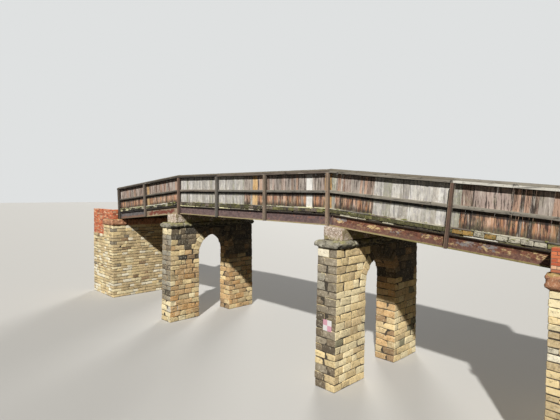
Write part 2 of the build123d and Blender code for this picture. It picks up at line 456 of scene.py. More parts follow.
def makeLight():
    makeLamp("key", light["from"], light["key"], light["spread"])
    makeLamp("behind", light["behind"], light["behindKey"], light["behindSpread"])
    world = bpy.data.worlds.new("studio")
    bpy.context.scene.world = world
    world.use_nodes = True
    studio = Tree(world.node_tree)
    kinds = ("Camera", "Glossy", "Transmission")
    rays = [studio.node("LightPath", output=f"Is {kind} Ray") for kind in kinds]
    soft = studio.node("Background", {}, {"Color": (1, 1, 1, 1), "Strength": light["fill"]})
    shown = studio.node("Background", {}, {"Color": colour(light["backdrop"]), "Strength": 1})
    mixed = studio.node("MixShader", {}, {0: rays[0] + rays[1] + rays[2], 1: soft, 2: shown})
    studio.feed(world.node_tree.nodes["World Output"].inputs["Surface"], mixed)


floorLook = {"size": 220, "cuts": 8, "rough": 0.95}


def makeFloor():
    mesh = bpy.data.meshes.new("floor")
    sheet = bmesh.new()
    cuts = floorLook["cuts"]
    bmesh.ops.create_grid(sheet, x_segments=cuts, y_segments=cuts, size=floorLook["size"])
    sheet.to_mesh(mesh)
    sheet.free()
    floor = bpy.data.objects.new("floor", mesh)
    bpy.context.scene.collection.objects.link(floor)
    finish = Finish("floor")
    seen = finish.node("LightPath", output="Is Camera Ray")
    tint = finish.mix(seen, colour(light["bounce"]), colour(light["floor"]))
    finish.feed(finish.shader.inputs["Base Color"], tint)
    finish.feed(finish.shader.inputs["Roughness"], floorLook["rough"])
    mesh.materials.append(finish.material)


makeCamera()
makeLight()
makeFloor()

print("finishes")

stoneTones = {
    "soot": "453f36", "sootBrown": "5f5444", "greyBrown": "968973", "umber": "7c6d57",
    "greyGreen": "8c866a", "grey": "a69e8b", "brown": "a08360", "orange": "d0a36b",
    "ochre": "d3ae7b", "tan": "d3ba8c", "gold": "ebd19b", "paleGold": "f5e2b3",
    "cream": "f8ecce", "ash": "d2cab8",
}

brickTones = {
    "red": "c8623f", "orange": "dc7c50", "pink": "d99a74", "dark": "8d4e3c", "brown": "ae6848",
    "pale": "e8b690",
}


def stoneFinish(name, moss, lichen, stain, soot, gain):
    # stones show one tone on their long faces and another on the ends of the wall
    finish = Finish(name)
    toneX, shade, toneY = finish.traits()
    place = finish.shifted(shade)
    cloud = finish.noise(4.5, 4, 0.6, place=place)
    pits = finish.noise(13, 6, 0.72, place=place)
    grain = finish.noise(38, 5, 0.75, place=place)
    endways = finish.between(finish.facing()[1], 0.6, 0.8)
    tint = finish.mix(endways, finish.tone(stoneTones, toneX), finish.tone(stoneTones, toneY))
    tint = finish.shade(tint, (0.64 + shade * 0.28 + cloud * 0.34 + finish.relief() * 0.1) * gain)
    tint = finish.stain(
        tint,
        ("5b4e3b", 0.5, pits, 0.52, 0.64),
        ("f3e6c6", 0.45, pits, 0.46, 0.36),
        ("453b2d", 0.4, grain, 0.55, 0.75),
        ("4f4536", stain, finish.noise(1.3, 7, 0.72, (1, 1, 0.7)), 0.54, 0.66),
        ("857f55", 0.3, finish.noise(2.6, 7, 0.75, (1, 1, 1.4)), 0.55, 0.66),
        ("2f2a24", soot, finish.noise(4.0, 7, 0.75, (0.5, 0.5, 2.2)), 0.56, 0.61),
        ("e0dcc2", lichen, finish.noise(7, 7, 0.78), 0.6, 0.66),
        ("8d8648", moss, finish.noise(5, 6, 0.7) + finish.upward() * 0.35, 0.7, 0.9),
    )
    return finish.close(tint, 0.92, pits * 0.7 + grain * 0.3 + cloud * 0.5, 0.018)


def mortarFinish(name, dark, web):
    finish = Finish(name)
    grain = finish.noise(60, 5, 0.75)
    tint = finish.stain(
        colour(dark), (web, 1, finish.noise(3.4, 6, 0.7), 0.42, 0.62), ("b9ad94", 0.5, grain, 0.5, 0.7)
    )
    return finish.close(tint, 0.95, grain, 0.01)


def brickFinish(name):
    finish = Finish(name)
    tone, shade = finish.traits()[:2]
    place = finish.shifted(shade)
    grain = finish.noise(60, 5, 0.75, place=place)
    cloud = finish.noise(14, 5, 0.65, place=place)
    tint = finish.stain(
        finish.shade(finish.tone(brickTones, tone), 0.72 + shade * 0.3 + cloud * 0.3),
        ("6e4636", 0.5, cloud, 0.56, 0.7),
        ("f0c29c", 0.4, grain, 0.55, 0.75),
        ("8d8a46", 0.7, finish.noise(4, 6, 0.7) + finish.upward() * 0.3, 0.74, 0.9),
    )
    return finish.close(tint, 0.88, grain * 0.5 + cloud * 0.5, 0.006)


def capFinish(name, web, pale, dark, moss, sideMossAndShade=0):
    # sideMossAndShade says how much moss and painted shade the faces along the bridge carry
    finish = Finish(name)
    grain = finish.noise(30, 6, 0.8)
    cloud = finish.noise(2.6, 6, 0.68)
    blotch = finish.noise(6.5, 7, 0.75)
    growth = finish.noise(2.4, 7, 0.7)
    sides = finish.between(finish.facing()[0], 0.45, 0.75) * sideMossAndShade
    tint = finish.stain(
        finish.shade(colour(web), 0.55 + cloud * 0.9),
        (dark, 0.85, blotch, 0.48, 0.4),
        (pale, 0.6, grain, 0.5, 0.64),
        (pale, 0.85, blotch, 0.57, 0.63),
        ("a39a66", sides * 0.5, growth, 0.45, 0.55),
        # painted shade: the downward-turned lower part of those faces is near black, as under an undercut
        ("231f18", sides, finish.upward(), 0.15, -0.25),
        ("a29b52", moss, growth + finish.upward() * 0.28, 0.66, 0.8),
    )
    return finish.close(tint, 0.94, grain * 0.5 + blotch * 0.9, 0.022)


def blockFinish(name):
    # cast block with its pebbles showing, paler on the left pier
    finish = Finish(name)
    pebbles = {"Vector": finish.place, "Scale": 26}
    each = finish.split(finish.node("TexVoronoi", {}, pebbles, "Color"))[0]
    tall = finish.node("TexVoronoi", {}, pebbles, "Distance")
    cloud = finish.noise(2.6, 6, 0.65)
    growth = finish.noise(2.7, 7, 0.75)
    x, z = finish.split(finish.place)[::2]
    toRight = finish.between(x, -4, 0)
    foot = finish.between(z, 4.95, 4.72)
    sides = finish.between(finish.facing()[0], 0.5, 0.8)
    tint = finish.stain(colour("b09b88"), ("f6e8d8", 1, each, 0.1, 0.9), ("8b7a68", 0.55, tall, 0.3, 0.6))
    tint = finish.shade(tint, 0.72 + cloud * 0.5)
    tint = finish.stain(
        finish.shade(tint, 1.32 - toRight * 0.26),
        ("a88a74", toRight * 0.15),
        ("81724a", sides * 0.8, growth, 0.4, 0.54),
        ("9a9455", 0.5, growth + foot * 0.12, 0.56, 0.66),
        ("8a5c38", 0.5, finish.noise(5, 6, 0.7, (1, 1, 0.22)), 0.55, 0.66),
    )
    return finish.close(tint, 0.92, 1 - tall, 0.012)


def steelFinish(name):
    # old paint over rust, its patches changing from span to span, with painted shade along the top under the
    # deck
    finish = Finish(name)
    x, z = finish.split(finish.place)[::2]
    beyond = finish.node("Math", {"operation": "ABSOLUTE"}, {0: x}) - kink
    beyond = finish.node("Math", {"operation": "MAXIMUM"}, {0: beyond, 1: 0})
    rise = z - level + beyond * math.tan(fall)
    wave = finish.noise(3.0, 7, 0.75)
    flake = finish.noise(7.5, 8, 0.8, (1, 1, 1.5))
    patch = finish.noise(1.5, 7, 0.7, (0.7, 1, 1.3))
    grain = finish.noise(42, 5, 0.75)
    mottle = finish.noise(16, 6, 0.75)
    peel = finish.noise(4.2, 7, 0.72, (0.8, 1, 1.6))
    growth = finish.between(finish.noise(4.5, 6, 0.7), 0.4, 0.55)
    up = rise + (wave - 0.5) * 0.5
    toRight = finish.between(x, -0.5, 3.5)
    centre = finish.stain(
        colour("5c4a48"),
        ("7e6a66", 1, flake, 0.4, 0.6),
        ("8b7468", 0.5, patch, 0.52, 0.66),
        ("8d6350", 0.5, grain, 0.52, 0.72),
        ("a3603c", 0.8, flake + toRight * 0.05, 0.6, 0.66),
        ("cdbb94", toRight, flake, 0.36, 0.31),
    )
    blue = finish.between(flake, 0.44, 0.5) * finish.band(up, 0.1, 0.3, 0.04)
    right = finish.stain(
        colour("5f382b"),
        ("9a6149", 1, flake, 0.38, 0.62),
        ("755c56", finish.band(up, -0.1, 0.15, 0.06) * 0.55),
        ("9a7050", 0.5, grain, 0.5, 0.68),
        ("6e4a40", 0.5, patch, 0.5, 0.6),
        ("b8946c", 0.6, mottle, 0.54, 0.62),
        ("452c24", 0.6, mottle, 0.44, 0.37),
        ("e6c68e", finish.band(up, 0.13, 0.31, 0.04) * 0.95, peel, 0.545, 0.575),
        ("a3a19e", blue * 0.8, patch, 0.55, 0.59),
    )
    scab = finish.band(up, 0.08, 0.25, 0.03) * finish.band(x + wave, -7.1, -4.6, 0.3)
    left = finish.stain(
        colour("b3a184"),
        ("8c7a66", 1, flake, 0.4, 0.6),
        ("793f2f", scab, flake, 0.38, 0.44),
        ("6e5444", 0.7, flake, 0.58, 0.64),
    )
    slate = finish.stain(
        colour("55504f"), ("7e7874", 1, flake, 0.42, 0.6), ("84624f", 0.85, up, 0.18, 0.07)
    )
    farLeft = finish.between(x, -7.75, -7.95)
    footEdge = finish.between(rise, 0.034, 0.026)
    tint = finish.stain(
        centre,
        (finish.shade(right, 0.9 - finish.between(x, 6.0, 7.6) * 0.14), 1, x, 4.6, 4.9),
        (left, 1, x, -4.5, -4.7),
        (slate, farLeft),
        # painted shade: a near-black band along the top of the web and flange, under the deck edge
        ("1c1713", 0.93, rise, 0.325, 0.345),
        (finish.stain(colour("c6b38c"), ("857b48", 1, x, 6.2, 7.6)), footEdge * 0.75),
        ("9a8f56", footEdge * growth * 0.5),
        ("4a3c32", footEdge * farLeft * 0.8),
        ("8f8550", growth, finish.upward(), 0.5, 0.9),
    )
    return finish.close(tint, 0.8, flake * 0.8 + grain * 0.3, 0.01)


boardTones = {
    "bright": "efe9dd", "white": "e4dfd4", "silver": "d0cabe", "grey": "b9b1a4",
    "greenGrey": "b0ac98", "paleGreen": "c2bea6", "brownGrey": "a8988b", "pink": "b39686",
    "brown": "8f6c56", "redBrown": "8c5744", "orange": "b9835c", "honey": "deb071",
    "dark": "4f423b", "new": "e0b67b",
}

# tones of the brown boards below the middle rail, where they keep more of their colour
lowTones = {
    "tan": "c79c7c", "dark": "5a4034", "pink": "b8927e", "orange": "b9774e", "brown": "8b5f49",
    "deep": "6e4836", "pale": "cdae96", "redBrown": "92583f", "slate": "7f7772",
}

# black is painted shade: near-black timber set where deck ends, packing and ledge gaps lie in shadow
timberTones = {
    "grey": "8d8577", "greyBrown": "7d6f62", "brown": "745a4a", "redBrown": "7f6453",
    "dark": "463e36", "gold": "b48e4c", "moss": "85804f", "mossDark": "5d5938",
    "pale": "c9c1aa", "slate": "767168", "sand": "a88f77", "earth": "917f6c",
    "bleached": "ece6d6", "lichen": "f0e9ba", "black": "201c18",
}


def boardFinish(name):
    # upright boards: streaked along the grain, bleached above and damp at the foot, with painted shadow under
    # the rails
    finish = Finish(name)
    tone, shade, rise = finish.traits()
    place = finish.shifted(tone + shade * 3)
    fine = finish.noise(60, 4, 0.7, (1, 1, 0.05), place)
    streak = finish.noise(19, 5, 0.75, (1, 1, 0.07), place)
    wide = finish.noise(9, 5, 0.7, (1, 1, 0.12), place)
    vein = finish.noise(13, 3, 0.6, (1, 1, 0.09), place)
    cloud = finish.noise(3.2, 6, 0.7, place=place)
    blotch = finish.noise(9, 6, 0.7, (1, 1, 0.5), place)
    brown = finish.band(tone, 0.43, 0.78, 0.004)
    pale = finish.between(tone, 0.432, 0.424)
    newest = finish.between(tone, 0.073, 0.069)  # only the whitest board
    worn = finish.between(rise + (cloud - 0.5) * 0.2, 0.36, 0.44)
    low = brown * (1 - worn)
    other = finish.node("Math", {"operation": "FRACT"}, {0: shade * 7.3})
    # painted shadow: near-black bands on the boards just under the mid rail and the top rail
    uneven = rise + (streak - 0.5) * 0.05
    paintedShadowUnderMid = finish.between(uneven, 0.28, 0.305) * finish.between(rise, 0.42, 0.4)
    paintedShadowUnderTop = finish.between(uneven, 0.89, 0.912)
    tint = finish.mix(low * 0.8, finish.tone(boardTones, tone), finish.tone(lowTones, other))
    grey = finish.mix(0.35, finish.shade(tint, 1.0, 0.6), colour("bdae9c"))
    tint = finish.mix(worn * brown * 0.6, tint, grey)
    tint = finish.shade(tint, 0.6 + shade * 0.34 + cloud * 0.46 + finish.relief() * 0.06 + brown * 0.06)
    tint = finish.stain(
        tint,
        ("4a3a31", 0.55 - pale * 0.3, wide, 0.53, 0.63),
        ("e8dccb", 0.45 - pale * 0.1, wide, 0.45, 0.36),
        ("261d17", 0.85 - pale * 0.35, streak + low * 0.03 + brown * worn * 0.01, 0.53, 0.6),
        ("f3e8d6", 0.55, streak, 0.44, 0.36),
        ("cf9467", low * 0.6, vein, 0.47, 0.41),
        ("38312d", low * 0.8, vein, 0.56, 0.61),
        ("f0c69e", low * 0.6, fine, 0.46, 0.38),
    )
    tint = finish.stain(
        finish.shade(tint, 1 + low * 0.1),
        ("33281f", 0.35, fine, 0.56, 0.7),
        ("a39ca0", pale * 0.45, blotch, 0.5, 0.6),
        (finish.shade(colour("faf6ee"), 0.9 + cloud * 0.2), newest * 0.7),
        ("f6f2ea", pale * 0.4, blotch, 0.46, 0.38),
        ("29231e", 0.12 + brown * 0.68, rise + (streak - 0.5) * 0.35, 0.15, 0.03),
        ("14110f", paintedShadowUnderMid * 0.85 + paintedShadowUnderTop * 0.75),
        ("8e8a66", 0.25, cloud + (1 - rise) * 0.1, 0.56, 0.7),
    )
    return finish.close(tint, 0.85, streak * 0.6 + fine * 0.25 + wide * 0.4, 0.01)


def timberFinish(name, along, moss, mossWeb, upper=0, upperWeb="b5ab92", depth=0.01):
    # weathered timber: along is the axis of its grain, and upper how far its top has its own colour
    finish = Finish(name)
    tone, shade, rise = finish.traits()
    place = finish.shifted(tone + shade * 3)
    thin = [0.07 if axis == along else 1 for axis in range(3)]
    fine = finish.noise(60, 4, 0.7, thin, place)
    streak = finish.noise(20, 5, 0.75, thin, place)
    cloud = finish.noise(4.0, 6, 0.72, place=place)
    ease = moss * 0.25
    tint = finish.stain(
        finish.shade(finish.tone(timberTones, tone), 0.52 + shade * 0.25 + cloud * 0.55),
        ("2a221c", 0.75, streak, 0.53, 0.63),
        ("cfc5b0", 0.45, streak, 0.43, 0.35),
        ("3a2f26", 0.3, fine, 0.56, 0.7),
        (upperWeb, upper, rise + (cloud - 0.5) * 0.5, 0.45, 0.65),
        (mossWeb, min(1, moss * 2), finish.noise(7, 7, 0.75), 0.62 - ease, 0.72 - ease),
        ("1f1a15", 0.75, finish.noise(7, 7, 0.75, place=place), 0.42, 0.36),
    )
    return finish.close(tint, 0.86, streak * 0.6 + fine * 0.3 + cloud * 0.5, depth)


def postFinish(name):
    # posts are browner in front and darker on their sides
    finish = Finish(name)
    tone, shade, across = finish.traits()
    place = finish.shifted(tone + shade * 3)
    streak = finish.noise(24, 5, 0.75, (1, 1, 0.07), place)
    cloud = finish.noise(3.0, 6, 0.7, place=place)
    side = finish.between(finish.facing()[0], 0.6, 0.8)
    tint = finish.stain(
        finish.shade(finish.tone(timberTones, tone), 0.6 + shade * 0.25 + cloud * 0.5),
        ("332921", 0.6, streak, 0.52, 0.62),
        ("bfa98f", 0.4, streak, 0.42, 0.34),
        ("413f38", side * 0.5),
        ("d2b898", (1 - side) * 0.35, across, 0.3, 0.12),
    )
    return finish.close(tint, 0.86, streak, 0.008)


def ironFinish(name):
    finish = Finish(name)
    grain = finish.noise(40, 5, 0.7)
    tint = finish.stain(colour("2f2823"), ("6a5244", 1, grain, 0.35, 0.7))
    return finish.close(tint, 0.6, grain, 0.002)


def mossFinish(name):
    finish = Finish(name)
    tone, shade = finish.traits()[:2]
    grain = finish.noise(90, 4, 0.7)
    tint = finish.stain(colour("7f7f42"), ("d4cfae", 1, tone, 0.3, 0.7))
    tint = finish.stain(finish.shade(tint, 0.6 + shade * 0.6), ("57532c", 0.5, grain, 0.5, 0.7))
    return finish.close(tint, 0.95, grain, 0.01)


def plateFinish(name):
    # plain quartered plate
    finish = Finish(name)
    tone = finish.traits()[0]
    grain = finish.noise(25, 5, 0.7)
    tint = finish.stain(colour("f0ece6"), ("e3a9b4", 1, tone, 0.4, 0.6), ("a89c90", 0.35, grain, 0.5, 0.7))
    return finish.close(tint, 0.5, grain, 0.001)


finishes = {
    "leftPier": stoneFinish("sooty_pier_stone_face", moss=0.2, lichen=0.45, stain=0.3, soot=0.6, gain=1.16),
    "rightPier": stoneFinish("golden_pier_stone_face", moss=0.3, lichen=0.2, stain=0.2, soot=0.22, gain=1.17),
    "abutmentStone": stoneFinish("abutment_stone_face", moss=0.35, lichen=0.3, stain=0.35, soot=0, gain=1.12),
    "mortar": mortarFinish("lime_mortar", "3b342a", "574b3c"),
    "brickMortar": mortarFinish("brick_mortar", "6f5546", "a58a74"),
    "brick": brickFinish("red_brick_face"),
    "cap": capFinish("cap_stone_face", "8c8573", "d8d2bd", "3a362e", moss=0.5, sideMossAndShade=0.85),
    "course": capFinish("course_stone_face", "b9805c", "e6c3a0", "6e4c3a", moss=0.5),
    "block": blockFinish("bearing_block_face"),
    "steel": steelFinish("rusty_steel_face"),
    "boards": boardFinish("parapet_board_face"),
    "topRails": timberFinish("top_rail_face", 0, 0.25, "7d7757", upper=0.8, upperWeb="6b6150"),
    "midRails": timberFinish("mid_rail_face", 0, 0.15, "85815a", upper=0.3, upperWeb="b0a794"),
    "ledge": timberFinish("ledge_face", 0, 0.22, "77744c", upper=0.2),
    "posts": postFinish("post_face"),
    "deck": timberFinish("deck_timber_face", 1, 0.45, "6f6a3e", depth=0.02),
    "packing": timberFinish("packing_timber_face", 0, 0.15, "8f8c58"),
    "iron": ironFinish("iron_fixing"),
    "moss": mossFinish("moss_cushion"),
    "plate": plateFinish("plate_face"),
}

print("pier masonry")

stone = {
    "joint": 0.01,
    "bed": 0.022,
    "proud": 0.01,
    "depth": 0.13,  # how far a stone reaches into the wall
    "long": 0.44,  # how far a corner stone runs along one wall, and short along the other
    "short": 0.23,
    "narrow": 0.95,  # on a wall narrower than this, two corner stones share it
    "share": 0.58,
    "shareWander": 0.06,
    "length": 0.42,
    "shortest": 0.05,
    "split": 0.03,  # how many stones are two thin ones instead
    "splitAt": (0.4, 0.6),
    "vary": (0.85, 1.1),  # of the reach of corner stones
}
uneven = {"count": (0.85, 1.15), "cut": (-0.3, 0.3), "course": (0.84, 1.16)}
stoneWear = {
    "edge": 0.012, "cell": 0.08, "rough": 0.01, "pace": 8, "swell": 0.007, "skew": 0.013, "chip": 0.035
}


def spread(rng, start, end, length):
    # uneven cuts that fill a stretch
    count = max(1, round((end - start) / length * rng.uniform(*uneven["count"])))
    pitch = (end - start) / count
    inner = [start + pitch * (i + rng.uniform(*uneven["cut"])) for i in range(1, count)]
    return [start, *inner, end]


def courseLevels(rng, low, high, count):
    # uneven courses that fill a height, as pairs of bottom and top
    steps = [rng.uniform(*uneven["course"]) for _ in range(count)]
    scale = (high - low) / sum(steps)
    levels = [low]
    for step in steps:
        levels.append(levels[-1] + step * scale)
    return list(zip(levels, levels[1:]))


def hiddenSides(out):
    # the sides of a stone that face into the wall, where it shows only the sides that face out
    return [(axis, -1 if way > 0 else 1) for axis, way in enumerate(out[:2]) if abs(way) > 0.5]


def boxOf(first, second, bottom, top):
    # lowest and highest corner of the box between two upright edges
    low = (min(first.x, second.x), min(first.y, second.y), bottom)
    return low, (max(first.x, second.x), max(first.y, second.y), top)


def layCourse(pile, outline, low, high, look, traits, odd, wear=stoneWear, bend=None, keep=None, crown=0):
    # one course of stones round a wall, with its corners bonded the other way in the next
    rng = pile.random
    count = len(outline)
    corners = [Vector(c) for c in outline]
    ways = [corners[(i + 1) % count] - corners[i] for i in range(count)]
    lengths = [way.length for way in ways]
    ways = [way.normalized() for way in ways]
    outs = [Vector((way.y, -way.x)) for way in ways]
    half = look["joint"] / 2
    bed = look["bed"] / 2
    wander = look["shareWander"]
    shares = [look["share"] + rng.uniform(-wander, wander) for way in ways]

    def reach(edge, isLong):
        if lengths[edge] < look["narrow"]:
            return lengths[edge] * (shares[edge] if isLong else 1 - shares[edge])
        return look["long" if isLong else "short"] * rng.uniform(*look["vary"])

    def place(first, second, bottom, top, out):
        lift = crown if top == high else 0
        box, far = boxOf(first, second, bottom + bed, top - bed + lift)
        middle = Vector([(a + b) / 2 for a, b in zip(box, far)])
        if keep is None or keep(middle):
            pile.block(box, far, traits(middle, rng), wear, bend, backs=hiddenSides(out))

    turns = [ways[i - 1].cross(ways[i]) > 0 for i in range(count)]
    takes = [(reach((i - 1) % count, odd), reach(i, not odd)) if turns[i] else (0, 0) for i in range(count)]
    for i in range(count):
        if turns[i]:
            outer = corners[i] + (outs[i - 1] + outs[i]) * look["proud"]
            inner = corners[i] - ways[i - 1] * (takes[i][0] - half) + ways[i] * (takes[i][1] - half)
            place(outer, inner, low, high, outs[i - 1] + outs[i])
        start = takes[i][1]
        end = lengths[i] - takes[(i + 1) % count][0]
        if end - start < look["shortest"]:
            continue
        cuts = spread(rng, start, end, look["length"])
        for a, b in zip(cuts, cuts[1:]):
            first = corners[i] + ways[i] * (a + half) + outs[i] * look["proud"]
            second = corners[i] + ways[i] * (b - half) - outs[i] * look["depth"]
            if rng.random() < look["split"]:
                middle = low + (high - low) * rng.uniform(*look["splitAt"])
                place(first, second, low, middle, outs[i])
                place(first, second, middle, high, outs[i])
            else:
                place(first, second, low, high, outs[i])


pierShape = {
    "batter": 0.063,
    "height": 4.44,
    "opening": 0.95,
    "reveal": 0.45,  # how deep beyond the opening its stones keep the colour inside
    "springing": 3.12,
    "ring": 0.32,
    "archStones": 17,
    "unsootedUnshadedArch": 0.25,  # how much of the arch, from its near foot, is free of soot and painted shade
    "tuck": 0.006,  # how far the arch stones reach into the opening
    "archProud": 0.004,  # and stand out before the others
    "archRoom": 0.05,  # stones whose middle lies farther inside the arch's edge are left out
    "tread": 0.004,  # how far the wall stays below the cap
    "lowCourses": 13,
    "highCourses": 5,
    "sootAndShadeFrom": -0.7,  # soot, darkened further as painted shade under the deck, lies above a ragged height on the far part
    "sootAndShadeHeight": 2.5,
    "sootAndShadeWander": 0.6,
}

# tones of the stones, by the height of a stone's middle
pierTones = {
    "right": {
        "end": [
            (0.75, {"greyBrown": 2, "gold": 1, "tan": 2, "umber": 1}),
            (1.2, {"gold": 3, "paleGold": 1, "tan": 2, "umber": 1}),
            (2.3, {"umber": 8, "greyBrown": 1.5, "sootBrown": 4}),
            (4.15, {"greyBrown": 8, "umber": 3, "grey": 1.5}),
            (9.0, {"cream": 2, "greyBrown": 2, "sootBrown": 1}),
        ],
        "side": [
            (3.1, {"paleGold": 8, "gold": 8, "tan": 4, "greyGreen": 1}),
            (9.0, {"paleGold": 12, "gold": 8, "tan": 2}),
        ],
    },
    "left": {
        "end": [
            (0.95, {"paleGold": 3, "gold": 2, "ash": 1}),
            (1.5, {"sootBrown": 1, "umber": 2, "greyBrown": 3}),
            (2.4, {"umber": 1, "greyBrown": 6, "grey": 4}),
            (4.15, {"greyBrown": 7, "grey": 4, "umber": 1, "ash": 0.3}),
            (9.0, {"paleGold": 1}),
        ],
        "side": [
            (2.85, {"ochre": 8, "orange": 3, "tan": 3, "gold": 4, "paleGold": 1}),
            (3.05, {"soot": 2, "sootBrown": 2, "brown": 2, "tan": 1}),
            (3.75, {"ochre": 5, "gold": 5, "orange": 1, "tan": 3, "sootBrown": 1}),
            (9.0, {"soot": 2, "sootBrown": 3, "umber": 3, "tan": 3, "gold": 2, "brown": 2}),
        ],
    },
}
insideTones = {"ochre": 5, "tan": 3, "gold": 1, "brown": 2}
sootAndShadeTones = {"soot": 3, "sootBrown": 3, "umber": 1.5, "brown": 1}
archTones = {"tan": 3, "gold": 4, "paleGold": 2, "greyGreen": 1}
sootAndShadeArchTones = {"sootBrown": 3, "umber": 2, "brown": 2, "soot": 1}


def pierTraits(name):
    def traits(middle, rng):
        # faces inside the opening are ochre; the far part is sooty above, darkened further as painted shade
        # under the deck
        inside = abs(middle.y) < pierShape["opening"] + pierShape["reveal"]
        sootAndShade = middle.y > pierShape["sootAndShadeFrom"]
        sootAndShade = sootAndShade and middle.z > pierShape["sootAndShadeHeight"] + pierShape["sootAndShadeWander"] * rng.random()
        tones = []
        for face in ("side", "end"):
            weights = within(pierTones[name][face], middle.z)[1]
            if inside and face == "end":
                weights = insideTones
            if sootAndShade and (inside or face == "side"):
                weights = sootAndShadeTones
            tones.append(pick(rng, stoneTones, weights))
        return tones[0], rng.random(), tones[1]

    return traits


def makePier(name, seed):
    node = f"{name}_pier"
    low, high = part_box(node)
    opening = pierShape["opening"]
    springing = pierShape["springing"]
    ring = opening + pierShape["ring"]
    foot = high.y
    pile = Pile(f"{name}_pier_stones", seed)
    traits = pierTraits(name)

    def bend(points):
        # batter of the ends, then room for the arch stones
        points = points.copy()
        share = (foot - pierShape["batter"] * points[:, 2] / high.z - opening) / (foot - opening)
        far = np.abs(points[:, 1]) > opening
        outer = np.sign(points[:, 1]) * (opening + (np.abs(points[:, 1]) - opening) * share)
        points[:, 1] = np.where(far, outer, points[:, 1])
        rise = points[:, 2] - springing
        reach = np.hypot(points[:, 1], rise)
        inside = (rise > 0) & (reach < ring + stone["joint"])
        scale = np.where(inside, (ring + stone["joint"]) / np.maximum(reach, 0.1), 1)
        points[:, 1] *= scale
        points[:, 2] = springing + np.where(rise > 0, rise * scale, rise)
        points[:, 2] = np.clip(points[:, 2], 0, high.z - pierShape["tread"])
        return points

    def keep(middle):
        return math.hypot(middle.y, middle.z - springing) > ring - pierShape["archRoom"]

    def curl(points):
        angle = points[:, 1] / mean
        reach = points[:, 2]
        return np.stack([points[:, 0], reach * np.sin(angle), springing + reach * np.cos(angle)], axis=1)

    def outline(y0, y1):
        return [(low.x, y0), (high.x, y0), (high.x, y1), (low.x, y1)]

    legs = [outline(-foot, -opening), outline(opening, foot)]
    for course, (bottom, top) in enumerate(courseLevels(pile.random, 0, springing, pierShape["lowCourses"])):
        for leg in legs:
            layCourse(pile, leg, bottom, top, stone, traits, course % 2, bend=bend)
    levels = courseLevels(pile.random, springing, high.z, pierShape["highCourses"])
    for course, (bottom, top) in enumerate(levels):
        layCourse(pile, outline(-foot, foot), bottom, top, stone, traits, course % 2, bend=bend, keep=keep)

    # arch stones, in pairs through the wall
    mean = opening + pierShape["ring"] / 2
    middle = (low.x + high.x) / 2
    wide = math.pi * mean / pierShape["archStones"]
    half = stone["joint"] / 2
    face = high.x - middle + stone["proud"] + pierShape["archProud"]
    for i in range(pierShape["archStones"]):
        start = -math.pi * mean / 2 + i * wide
        # beyond the near foot the arch stones take sooty tones, darkened further as painted shade under the
        # deck
        archSootAndShade = i > pierShape["archStones"] * pierShape["unsootedUnshadedArch"]
        for front in (-1, 1):
            xs = sorted((middle + front * half, middle + front * face))
            tone, shade, _ = pile.look(stoneTones, sootAndShadeArchTones if archSootAndShade else archTones)
            pile.block(
                (xs[0], start + half, opening - pierShape["tuck"]),
                (xs[1], start + wide - half, ring - half), (tone, shade, tone), stoneWear, curl,
            )
    pile.finish(finishes[f"{name}Pier"], "pier_sandstone")
    dress(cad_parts[node], finishes["mortar"])


makePier("left", 11)
makePier("right", 12)

print("caps, bearing blocks and courses")

# copies of nodes, cut into stones of some length across the bridge, and worn
wornParts = {
    "pier_cap": {
        "piece": "cap_stones", "finish": "cap", "slot": "cap_stone", "length": 0.8, "voxel": 0.036,
        "rough": 0.03, "bite": 0.2,
    },
    "bearing_block": {
        "piece": "bearing_block_face", "finish": "block", "slot": "bearing_concrete", "voxel": 0.042,
        "rough": 0.006, "bite": 0.04,
    },
    "abutment_course": {
        "piece": "course_stones", "finish": "course", "slot": "cap_stone", "length": 0.9, "voxel": 0.048,
        "rough": 0.018, "bite": 0.09,
    },
}
wornJoint = 0.012
dentPace = 4  # dents and chips to a metre
chipPace = 7
chipFrom = 0.2  # chips are bitten where the noise passes this


def sliceOf(source, start, end):
    # the part of a mesh between two places across the bridge, closed where it is cut
    work = bmesh.new()
    work.from_mesh(source)
    bmesh.ops.remove_doubles(work, verts=work.verts, dist=0.0001)
    for place, way in ((start, -1), (end, 1)):
        cut = bmesh.ops.bisect_plane(
            work, geom=work.verts[:] + work.edges[:] + work.faces[:], plane_co=(0, place, 0),
            plane_no=(0, way, 0), clear_outer=True,
        )
        rim = [e for e in cut["geom_cut"] if isinstance(e, bmesh.types.BMEdge)]
        if rim:
            bmesh.ops.holes_fill(work, edges=rim)
    mesh = bpy.data.meshes.new("part")
    work.to_mesh(mesh)
    work.free()
    return bpy.data.objects.new("part", mesh)


def wornCopy(name, node, look, rng):
    # a copy of a node's solid, cut into stones, with its edges worn and chipped
    low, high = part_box(node)
    cuts = spread(rng, low.y, high.y, look["length"])[1:-1] if "length" in look else []
    bounds = [low.y - 1, *cuts, high.y + 1]
    half = wornJoint / 2
    parts = []
    for start, end in zip(bounds, bounds[1:]):
        part = sliceOf(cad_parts[node].data, start + half, end - half)
        bpy.context.scene.collection.objects.link(part)
        remesh = part.modifiers.new("remesh", "REMESH")
        remesh.mode = "VOXEL"
        remesh.voxel_size = look["voxel"]
        parts.append(part)
    bpy.context.view_layer.update()
    graph = bpy.context.evaluated_depsgraph_get()
    whole = bmesh.new()
    for part in parts:
        whole.from_mesh(part.evaluated_get(graph).to_mesh())
    for part in parts:
        bpy.data.objects.remove(part)
    for vert in whole.verts:
        vert.normal_update()
        dent = noise.fractal(vert.co * dentPace, 0.8, 2.1, 4)
        chip = max(0, noise.noise(vert.co * chipPace) - chipFrom) * look["bite"]
        vert.co += vert.normal * (look["rough"] * dent - chip)
    mesh = bpy.data.meshes.new(name)
    whole.to_mesh(mesh)
    whole.free()
    mesh.shade_smooth()
    settle(bpy.data.objects.new(name, mesh), finishes[look["finish"]], look["slot"], node)


